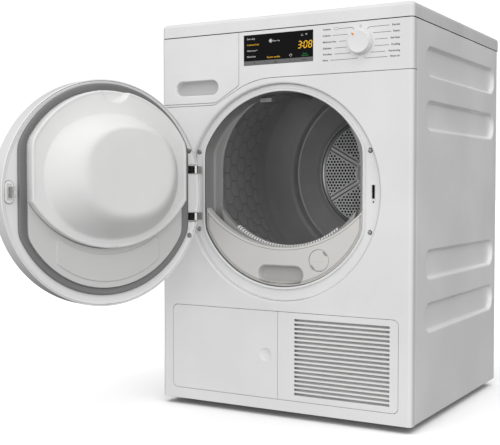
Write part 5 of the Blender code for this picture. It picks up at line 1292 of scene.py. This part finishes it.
place("comb_teeth", points, faces, comb_white, body="sieve", sharp=70)

# ---- Drum ----------------------------------------------------------------------------------------------
MOUTH_R = 0.1870
STEP_R, REAR = 0.2245, drum_high.y
D = DRUM_RADIUS - 0.0012
profile = [(MOUTH_R + 0.0005, 0.0580), (MOUTH_R + 0.0020, 0.0590), (D - 0.012, 0.0625),
           (D - 0.004, 0.0650), (D - 0.0008, 0.0690),
           (D, 0.0760)]
profile += [(D, y) for y in np.arange(0.09, 0.42, 0.03)]
profile += [(D - 0.0003, 0.4200), (D - 0.0020, 0.4300), (D - 0.0060, 0.4400), (D - 0.0130, 0.4520),
            (D - 0.0230, 0.4640),
            (D - 0.0330, 0.4740), (D - 0.0400, 0.4800), (D - 0.0425, 0.4830), (D - 0.0440, 0.4840),
            (D - 0.0460, 0.4835),
            (STEP_R - 0.0040, 0.4850), (STEP_R - 0.0070, 0.4890), (STEP_R - 0.0090, 0.4970),
            (STEP_R - 0.0110, 0.5010),
            (STEP_R - 0.0160, 0.5030), (BACK_RADIUS + 0.0180, 0.5036), (BACK_RADIUS + 0.0110, 0.5030),
            (BACK_RADIUS + 0.0080, 0.5012),
            (BACK_RADIUS + 0.0050, 0.4996), (BACK_RADIUS + 0.0020, 0.4992),
            (BACK_RADIUS + 0.0004, 0.5000), (BACK_RADIUS + 0.0002, 0.5035)]
lathe("drum_lining", profile, (0, DRUM_Z), drum_steel, steps=192, body="drum",
      stands_for=("drum_shell",), slot="drum_steel")
PLATE_BACK = REAR - 0.0060
profile = [(0.0, PLATE_BACK - 0.0225), (0.0120, PLATE_BACK - 0.0218), (0.0220, PLATE_BACK - 0.0195),
           (0.0300, PLATE_BACK - 0.0155),
           (0.0345, PLATE_BACK - 0.0110), (0.0370, PLATE_BACK - 0.0060), (0.0385, PLATE_BACK - 0.0030),
           (0.0420, PLATE_BACK - 0.0010),
           (0.0450, PLATE_BACK - 0.0004), (0.0600, PLATE_BACK - 0.0002),
           (BACK_RADIUS - 0.0110, PLATE_BACK - 0.0002),
           (BACK_RADIUS - 0.0080, PLATE_BACK - 0.0010), (BACK_RADIUS - 0.0060, PLATE_BACK - 0.0026),
           (BACK_RADIUS - 0.0030, PLATE_BACK - 0.0030),
           (BACK_RADIUS - 0.0006, PLATE_BACK - 0.0022), (BACK_RADIUS - 0.0003, PLATE_BACK + 0.0010)]
lathe("drum_disc", profile, (0, DRUM_Z), perforated, steps=160, body="drum", stands_for=("drum_back",),
      slot="drum_steel")
for number in range(6):
    turn = math.radians(30 + 60 * number)
    parts = []
    for offset in (-0.0052, 0.0052):
        rings = []
        for away in (0.0405, 0.0440, 0.0600, 0.0900, 0.1180, BACK_RADIUS - 0.0115, BACK_RADIUS - 0.0085):
            ends = away in (0.0405, BACK_RADIUS - 0.0085)
            wide, tall = (0.0012, 0.0006) if ends else (0.0024, 0.0032)
            ring = []
            for a, b in ((-1, 0), (-0.85, 0.6), (-0.4, 0.95), (0.4, 0.95), (0.85, 0.6), (1, 0),
                         (0, -0.4)):
                across, ahead = offset + wide * a, tall * b
                ring.append((away * math.cos(turn) - across * math.sin(turn), PLATE_BACK - 0.0003 - ahead,
                             DRUM_Z + away * math.sin(turn) + across * math.cos(turn)))
            rings.append(ring)
        parts.append(strips(rings, True, True, True))
    points, faces = joined(parts)
    place(f"drum_spoke_{number}", points, faces, chrome, body="drum", sharp=60)

# ---- Door ----------------------------------------------------------------------------------------------
R, FACE_Y, RIM_Y = DOOR_RADIUS, shell_low.y, shell_high.y
door = {"body": "door", "base": DOOR}
EDGE = 0.020
profile = [(0.0, FACE_Y + 0.0030), (R - EDGE, FACE_Y + 0.0030)]
profile += [(R - EDGE + (EDGE - 0.003) * math.cos(turn), FACE_Y + EDGE + (EDGE - 0.003) * math.sin(turn))
            for turn in np.radians(np.linspace(-75, 0, 6))]
profile += [(R - 0.0031, RIM_Y - 0.0022), (R - 0.0028, RIM_Y - 0.0006), (R - 0.0021, RIM_Y),
            (R - 0.0012, RIM_Y - 0.0001),
            (R - 0.0004, RIM_Y - 0.0008), (R - 0.0001, RIM_Y - 0.0020), (R, RIM_Y - 0.0080)]
profile += [(R - EDGE + EDGE * math.cos(turn),
             FACE_Y + EDGE + EDGE * math.sin(turn)) for turn in np.radians(np.linspace(0, -90, 16))]
profile += [(R * 0.80, FACE_Y), (R * 0.4, FACE_Y), (0.0, FACE_Y)]
# The door dish is in the lighter door white: painted light.
lathe("door_dish", profile, (0, DOOR_Z), door_lit_white, steps=192, stands_for=("door_outer_shell",),
      slot="white_enamel", **door)

bracket_low, bracket_high = span("hinge_bracket")
ARM_HALF = 0.0090
ARM_LEVELS = (bracket_high.z - 0.0160, bracket_low.z + 0.0160)
ELBOW_X = -0.1840
notches = [((-0.260, HINGE.y - 0.0068, level - ARM_HALF - 0.0020),
            (ELBOW_X + 0.0060, 0.030, level + ARM_HALF + 0.0020))
           for level in ARM_LEVELS]
cut_away(bpy.data.objects["door_dish"], notches, DOOR)


def seal_loop(inset):
    return flat_sided(SEAL_Z, SEAL_RADIUS - inset, SEAL_HALF - inset)


SEAL_WIDTH_R, SEAL_WIDTH_X = 0.0140, 0.0180


def seal_inner(extra=0.0):
    return flat_sided(SEAL_Z, SEAL_RADIUS - SEAL_WIDTH_R - extra, SEAL_HALF - SEAL_WIDTH_X - extra)


DOOR_CENTRE = (0.0, 0.4800)
seal_turns = turns_for(DOOR_CENTRE)
RIM = R - 0.0034
layers = [(seal_inner(0.006), -0.0035), (seal_inner(0.006), -0.0006), (seal_inner(0.004), -0.0003),
          (seal_loop(0.0), -0.0003),
          (seal_loop(-0.0012), -0.0003), (circle(0, DOOR_Z, RIM - 0.0060), -0.0003),
          (circle(0, DOOR_Z, RIM - 0.0048), -0.0002),
          (circle(0, DOOR_Z, RIM - 0.0036), 0.0006), (circle(0, DOOR_Z, RIM - 0.0022), 0.0011),
          (circle(0, DOOR_Z, RIM - 0.0008), 0.0011),
          (circle(0, DOOR_Z, RIM - 0.0001), 0.0005), (circle(0, DOOR_Z, RIM), -0.0035)]
layers.append((seal_inner(0.006), -0.0035))
radial("door_frame_ring", layers, DOOR_CENTRE, seal_turns, door_lit_white, stands_for=("door_inner_frame",),
       slot="white_enamel", **door)
cut_away(bpy.data.objects["door_frame_ring"], notches, DOOR)


def seal_step(share):
    outer, inner = seal_loop(0.0), seal_inner()
    return between(outer, inner, share)


TOP_Y = seal_high.y
layers = [(seal_step(0.0), 0.0), (seal_step(0.0), TOP_Y - 0.0030), (seal_step(0.05), TOP_Y - 0.0012),
          (seal_step(0.14), TOP_Y - 0.0003),
          (seal_step(0.24), TOP_Y), (seal_step(0.40), TOP_Y - 0.0004), (seal_step(0.60), TOP_Y - 0.0016),
          (seal_step(0.80), TOP_Y - 0.0030),
          (seal_step(0.93), TOP_Y - 0.0036), (seal_step(0.99), TOP_Y - 0.0042), (seal_step(1.0), 0.0),
          (seal_step(0.0), 0.0)]
radial("seal_ring", layers, DOOR_CENTRE, seal_turns, seal_grey, stands_for=("door_seal",),
       slot="seal_rubber", sharp=50, **door)

# bowl: plate, dome, facet and finger scoop
PLATE_TOP_Z = SEAL_Z + PLATE_RADIUS


def plate_loop(inset):
    radius, half = PLATE_RADIUS - inset, PLATE_HALF - inset
    dip = math.degrees(math.atan2(SEAL_Z - PLATE_CORNER - inset, half)) - 0.3
    top = flat_sided(SEAL_Z, radius, half, -dip, 180 + dip, 150)
    corner = PLATE_CORNER + inset
    return top + hanging((-half, corner), PLATE_BOTTOM + inset, (half, corner), 90)


BOWL_CENTRE = (-0.002, 0.512)


def squashed(centre, wide, tall, power, count=180):
    made = []
    for i in range(count):
        turn = 2 * math.pi * i / count
        c, s = math.cos(turn), math.sin(turn)
        made.append((centre[0] + wide * math.copysign(abs(c) ** (2 / power), c),
                     centre[1] + tall * math.copysign(abs(s) ** (2 / power), s)))
    return made


BASE = ((-0.001, 0.5085), 0.150, 0.1235, 2.15)
TIP = ((-0.006, 0.5180), 0.101, 0.089, 2.2)
TIP_Y = bowl_high.y - 0.0002
scoop_x, scoop_z, scoop_wide, scoop_tall = -0.0045, PLATE_TOP_Z + 0.004, 0.0345, 0.0285


def dome_loop(share):
    """share 1 is the base of the dome and 0 the edge of its flat tip."""
    (bx, bz), bw, bt, bp = BASE
    (tx, tz), tw, tt, tp = TIP
    mix = lambda a, b: b + (a - b) * share
    return squashed((mix(bx, tx), mix(bz, tz)), mix(bw, tw), mix(bt, tt), mix(bp, tp))


def scooped(point):
    x, y, z = point
    if y < PLATE_Y - 0.010:
        return point
    reach = math.hypot((x - scoop_x) / scoop_wide, (z - scoop_z) / scoop_tall)
    share = min(max((1.0 - reach) / 0.22, 0.0), 1.0)
    depth = 0.0120 * share * share * (3 - 2 * share)
    return (x, y - depth, z)


corners = [(s * PLATE_HALF, PLATE_CORNER) for s in (-1, 1)]
bowl_turns = turns_for(BOWL_CENTRE, corners, fine=[(62, 120, 0.5)], count=256)
layers = [(plate_loop(0.0), 0.0006), (plate_loop(0.0), PLATE_Y - 0.0030),
          (plate_loop(0.0006), PLATE_Y - 0.0012),
          (plate_loop(0.0018), PLATE_Y - 0.0002), (plate_loop(0.0032), PLATE_Y),
          (plate_loop(0.0052), PLATE_Y - 0.0004),
          (plate_loop(0.0066), PLATE_Y - 0.0010)]
flat_out = seen_from(plate_loop(0.0080), BOWL_CENTRE, bowl_turns)
flat_in = seen_from(dome_loop(1.07), BOWL_CENTRE, bowl_turns)
rings = []
for loop, y in layers:
    rings.append([scooped((x, y, z)) for x, z in seen_from(loop, BOWL_CENTRE, bowl_turns)])
FLOOR = PLATE_Y - 0.0011
for share in np.linspace(0.0, 1.0, 16):
    rings.append([scooped((a[0] + (b[0] - a[0]) * share, FLOOR, a[1] + (b[1] - a[1]) * share))
                  for a, b in zip(flat_out, flat_in)])
rise = TIP_Y - FLOOR
slope = [(1.040, 0.004), (1.015, 0.018)]
slope += [(1 - t, 0.74 * t + 0.26 * (1 - (1 - t) ** 2))
          for t in (0.03, 0.08, 0.15, 0.24, 0.35, 0.47, 0.59, 0.69)]
slope += [(0.235, 0.812), (0.160, 0.868), (0.085, 0.914), (0.010, 0.950), (-0.070, 0.977),
          (-0.160, 0.993), (-0.270, 1.0)]
for share, height in slope:
    loop = seen_from(dome_loop(share), BOWL_CENTRE, bowl_turns)
    rings.append([(x, FLOOR + rise * height, z) for x, z in loop])
for scale in (0.7, 0.4, 0.1):
    rings.append([(BOWL_CENTRE[0] + (x - BOWL_CENTRE[0]) * scale, y,
                   BOWL_CENTRE[1] + (z - BOWL_CENTRE[1]) * scale) for x, y, z in rings[-1]])
points, faces = strips(rings, True, False, True)
place("bowl_skin", points, faces, bowl_white, stands_for=("door_bowl",), slot="white_enamel", sharp=60,
      **door)

# lower panel
inner_r, inner_half = SEAL_RADIUS - SEAL_WIDTH_R - 0.0008, SEAL_HALF - SEAL_WIDTH_X - 0.0008
corner = math.degrees(math.atan2(SEAL_Z - PLATE_CORNER + SEAM, inner_half)) + 0.4
upper = hanging((-inner_half, PLATE_CORNER - SEAM), PLATE_BOTTOM - SEAM,
                (inner_half, PLATE_CORNER - SEAM), 90)
lower = flat_sided(SEAL_Z, inner_r, inner_half, 360 - corner, 180 + corner, 110)
panel_y = pad_high.y - 0.0022
# The lower panel and its pad are in the darker white: painted shade.
points, faces = slab_parts([(upper + lower)[::-1]], -panel_y, -panel_y + 0.0050, [0.0012])
place("lower_panel_skin", [(x, -y, z) for x, y, z in points], faces, panel_shaded_white,
      stands_for=("door_lower_panel",),
      slot="white_enamel", **door)
pad_half, pad_top, pad_r = 0.1180, 0.3880, inner_r - 0.0125
pad_upper = arc(pad_half - 0.012, pad_top - 0.0135, 0.012, 0, 80, 8)
left_upper = [(-x, z) for x, z in pad_upper[::-1]]
hang = hanging(left_upper[0], PLATE_BOTTOM - 0.0125, pad_upper[-1], 40)[::-1]
pad_loop = pad_upper + hang[1:-1] + left_upper
reach = math.degrees(math.acos(min(pad_half / pad_r, 1.0)))
pad_low = arc(0, SEAL_Z, pad_r, 180 + reach, 360 - reach, 40)
points, faces = slab_parts([pad_loop + pad_low], -(panel_y + 0.0021), -(panel_y - 0.002), [0.0020])
place("lower_pad_skin", [(x, -y, z) for x, y, z in points], faces, panel_shaded_white, sharp=50, **door)
marks = [slab_parts([circle(-0.0060, PLATE_BOTTOM + 0.0035, 0.0021, 20)], -(PLATE_Y + 0.0004),
                    -(PLATE_Y - 0.002), [0.0003])]
for i in range(3):
    x = 0.0010 + 0.0040 * i
    marks.append(slab_parts([[(x, PLATE_BOTTOM + 0.0022), (x + 0.0010, PLATE_BOTTOM + 0.0022),
                              (x + 0.0022, PLATE_BOTTOM + 0.0052),
                              (x + 0.0012, PLATE_BOTTOM + 0.0052)]], -(PLATE_Y + 0.0004),
                            -(PLATE_Y - 0.002), [0.0002]))
points, faces = joined(marks)
place("bowl_marks", [(x, -y, z) for x, y, z in points], faces, comb_white, **door)
# a near-black slab in the rim's drain notch: painted shade
slab("rim_drain", [rounded(-0.006, 0.006, DOOR_Z - R + 0.0035, DOOR_Z - R + 0.0058, 0.0008, count=3)],
     -0.0006, 0.0013, hole_shade_dark, edges=0.0, **door)

# latch plate and hook
x, z = LATCH
# A dark ring round the latch plate: painted shadow.
around = [(b, a) for a, b in pill(z - 0.0220, z + 0.0220, x - 0.0090, x + 0.0090)]
points, faces = tube([(a, 0.0001, b) for a, b in around + around[:1]], 0.0005, 6)
place("latch_outline", points, faces, joint_grey, **door)
outer = [(b, a) for a, b in pill(z - 0.0215, z + 0.0215, x - 0.0085, x + 0.0085)][::-1]
inner = rounded(x - 0.0044, x + 0.0044, z - 0.0150, z + 0.0150, 0.0012, count=4)
points, faces = slab_parts([outer, inner], -plate_high.y, -plate_low.y, [0.0009, 0.0005])
place("latch_plate_skin", [(x, -y, z) for x, y, z in points], faces, door_lit_white,
      stands_for=("latch_plate",), slot="white_enamel", **door)
# a near-black sheet at the bottom of the latch plate's hollow: painted shade
slab("latch_well", [moved_in(inner, -0.0006)], -0.0060, -0.0056, hole_shade_dark, edges=0.0, **door)
length = hook_high.y
hook_parts = []
for low_z, high_z in ((z - 0.0105, z - 0.0035), (z + 0.0035, z + 0.0105)):
    loop = [(x - 0.0013, -0.0105), (x + 0.0013, -0.0105), (x + 0.0013, length - 0.0070),
            (x + 0.0029, length - 0.0066),
            (x + 0.0026, length - 0.0048), (x + 0.0011, length - 0.0012), (x + 0.0002, length),
            (x - 0.0008, length), (x - 0.0013, length - 0.0010)]
    part, part_faces = slab_parts([loop], -high_z, -low_z, [0.0004])
    hook_parts.append(([(a, c, -b) for a, b, c in part], part_faces))
loop = [(x - 0.0011, -0.0100), (x + 0.0011, -0.0100), (x + 0.0011, length - 0.0100),
        (x - 0.0011, length - 0.0100)]
part, part_faces = slab_parts([loop], -(z + 0.0040), -(z - 0.0040), [0.0002])
hook_parts.append(([(a, c, -b) for a, b, c in part], part_faces))
points, faces = joined(hook_parts)
place("latch_hook_skin", points, faces, zinc, body="latch", base=DOOR, stands_for=("latch_hook",),
      slot="zinc")

# hinge: two elbowed arms, the block between them and the pin
SHOULDER = (-0.2015, -0.0040)
ARM_THICKNESS = 0.0050
ARM_BEND = 0.0060
arm_parts = []


def bent_route(corners, radius, count=7):
    made = [Vector(corners[0])]
    for before, here, after in zip(corners, corners[1:], corners[2:]):
        before, here, after = Vector(before), Vector(here), Vector(after)
        start, end = here + (before - here).normalized() * radius, here + (after - here).normalized() * radius
        for i in range(count):
            t = i / (count - 1)
            made.append(start * (1 - t) ** 2 + here * 2 * t * (1 - t) + end * t ** 2)
    return made + [Vector(corners[-1])]


route = bent_route([(HINGE.x, HINGE.y), (ELBOW_X, -0.0300), SHOULDER, (SHOULDER[0], PLATE + 0.0045)],
                   ARM_BEND)
left, right = [], []
for i, here in enumerate(route):
    along = (route[min(i + 1, len(route) - 1)] - route[max(i - 1, 0)]).normalized()
    out = Vector((-along.y, along.x)) * (ARM_THICKNESS / 2)
    left.append(tuple(here + out))
    right.append(tuple(here - out))
loop = left + right[::-1]
for level in ARM_LEVELS:
    points, faces = slab_parts([loop], -(level + ARM_HALF - 0.0005), -level, [0.0007])
    arm_parts.append(([(x, z, -y) for x, y, z in points], faces))
    points, faces = slab_parts([loop], (level - ARM_HALF + 0.0005), level, [0.0007])
    arm_parts.append(([(x, z, y) for x, y, z in points], faces))
    rings = []
    for radius, height in ((0.0027, -ARM_HALF), (0.0046, -ARM_HALF), (0.0052, -ARM_HALF + 0.0006),
                           (0.0052, ARM_HALF - 0.0006),
                           (0.0046, ARM_HALF), (0.0027, ARM_HALF)):
        rings.append([(HINGE.x + radius * math.cos(2 * math.pi * i / 36),
                       HINGE.y + radius * math.sin(2 * math.pi * i / 36), level + height)
                      for i in range(36)])
    arm_parts.append(strips(rings, True))
plate_low_z, plate_high_z = bracket_low.z, bracket_high.z
arm_parts.append(box_parts((bracket_low.x, PLATE + 0.0034, plate_low_z),
                           (-LIP_HALF - 0.0008, PLATE + 0.0062, plate_high_z)))
points, faces = joined(arm_parts)
place("hinge_arms", points, faces, chrome, stands_for=("hinge_bracket",), slot="zinc")
block_low, block_high = span("door_hinge_block", DOOR)
lug_low, lug_high = ARM_LEVELS[1] + ARM_HALF + 0.0009, ARM_LEVELS[0] - ARM_HALF - 0.0009
lug = rounded(HINGE.x - 0.0030, HINGE.x + 0.0080, HINGE.y - 0.0036, HINGE.y + 0.0060, 0.0015, count=4)
middle = (lug_low + lug_high) / 2
lug_parts = []
points, faces = slab_parts([lug], -lug_high, -middle, [0.0005])
lug_parts.append(([(x, z, -y) for x, y, z in points], faces))
points, faces = slab_parts([lug], lug_low, middle, [0.0005])
lug_parts.append(([(x, z, y) for x, y, z in points], faces))
rings = [[(HINGE.x + radius * math.cos(2 * math.pi * i / 24),
           HINGE.y + radius * math.sin(2 * math.pi * i / 24), height) for i in range(24)]
         for radius, height in ((0.0019, block_low.z), (0.0025, block_low.z + 0.0006),
                                (0.0025, block_high.z - 0.0006), (0.0019, block_high.z))]
lug_parts.append(strips(rings, True, True, True))
points, faces = joined(lug_parts)
place("hinge_lug", points, faces, steel_dark, stands_for=("door_hinge_block",), slot="zinc", **door)

# ---- Studio --------------------------------------------------------------------------------------------
floor_look = Look("floor", (0.90, 0.90, 0.90), 0.9).done(grain=200, grain_height=0.00001, mottle=0.005,
                                                         wear=0.0, rough_spread=0.02)
mesh = bpy.data.meshes.new("floor")
mesh.from_pydata([(-30, -30, 0), (30, -30, 0), (30, 30, 0), (-30, 30, 0)], [], [(0, 1, 2, 3)])
mesh.materials.append(floor_look)
floor = bpy.data.objects.new("floor", mesh)
bpy.context.scene.collection.objects.link(floor)

# Soft light from all round: brighter from above and the front, dimmer from below. Rays that leave for the
# backdrop see plain white.
world = bpy.data.worlds.new("studio")
bpy.context.scene.world = world
world.use_nodes = True
tree = world.node_tree
backdrop = tree.nodes["Background"]
backdrop.inputs["Color"].default_value = (1, 1, 1, 1)
direction = tree.nodes.new("ShaderNodeTexCoord")
slope = tree.nodes.new("ShaderNodeVectorMath")
slope.operation = "DOT_PRODUCT"
slope.inputs[1].default_value = (0.25, -0.68, 0.62)
tree.links.new(direction.outputs["Generated"], slope.inputs[0])
glow = Wire(tree, slope.outputs["Value"]) + 0.52
tree.links.new(glow.math("MAXIMUM", 0.04).socket, backdrop.inputs["Strength"])
seen = tree.nodes.new("ShaderNodeBackground")
seen.inputs["Color"].default_value = (1, 1, 1, 1)
seen.inputs["Strength"].default_value = 1.05
path = tree.nodes.new("ShaderNodeLightPath")
blend = tree.nodes.new("ShaderNodeMixShader")
tree.links.new(path.outputs["Is Camera Ray"], blend.inputs[0])
tree.links.new(backdrop.outputs[0], blend.inputs[1])
tree.links.new(seen.outputs[0], blend.inputs[2])
tree.links.new(blend.outputs[0], tree.nodes["World Output"].inputs["Surface"])


def sun(name, towards, strength, spread):
    data = bpy.data.lights.new(name, "SUN")
    data.energy, data.angle = strength, math.radians(spread)
    light = bpy.data.objects.new(name, data)
    bpy.context.scene.collection.objects.link(light)
    light.rotation_euler = Vector(towards).to_track_quat("-Z", "Y").to_euler()
    return light


# Light from above for the floor alone. The floor throws none of it back at the dryer.
overhead = sun("overhead", (0.02, 0.05, -1.0), 1.6, 90)
stage = bpy.data.collections.new("stage")
bpy.context.scene.collection.children.link(stage)
stage.objects.link(floor)
overhead.light_linking.receiver_collection = stage
floor.visible_diffuse = floor.visible_glossy = False

camera_data = bpy.data.cameras.new("camera")
camera_data.lens, camera_data.sensor_width = 68.99, 36.0
camera = bpy.data.objects.new("camera", camera_data)
bpy.context.scene.collection.objects.link(camera)
camera.location = SHIFT + Vector((0.9682, -1.7714, 0.4892))
camera.rotation_euler = (math.radians(90 - 2.15), 0.0, math.radians(30.35))
bpy.context.scene.camera = camera

# Light for the far end of the drum alone, which the soft light hardly reaches
inner = sun("drum_fill", (-0.46, 0.88, 0.02), 2.2, 25)
inside = bpy.data.collections.new("drum_end")
bpy.context.scene.collection.children.link(inside)
for piece in bpy.data.objects:
    if piece.name.startswith(("drum_disc", "drum_spoke")):
        inside.objects.link(piece)
inner.light_linking.receiver_collection = inside
bpy.context.scene.view_settings.view_transform = "Standard"
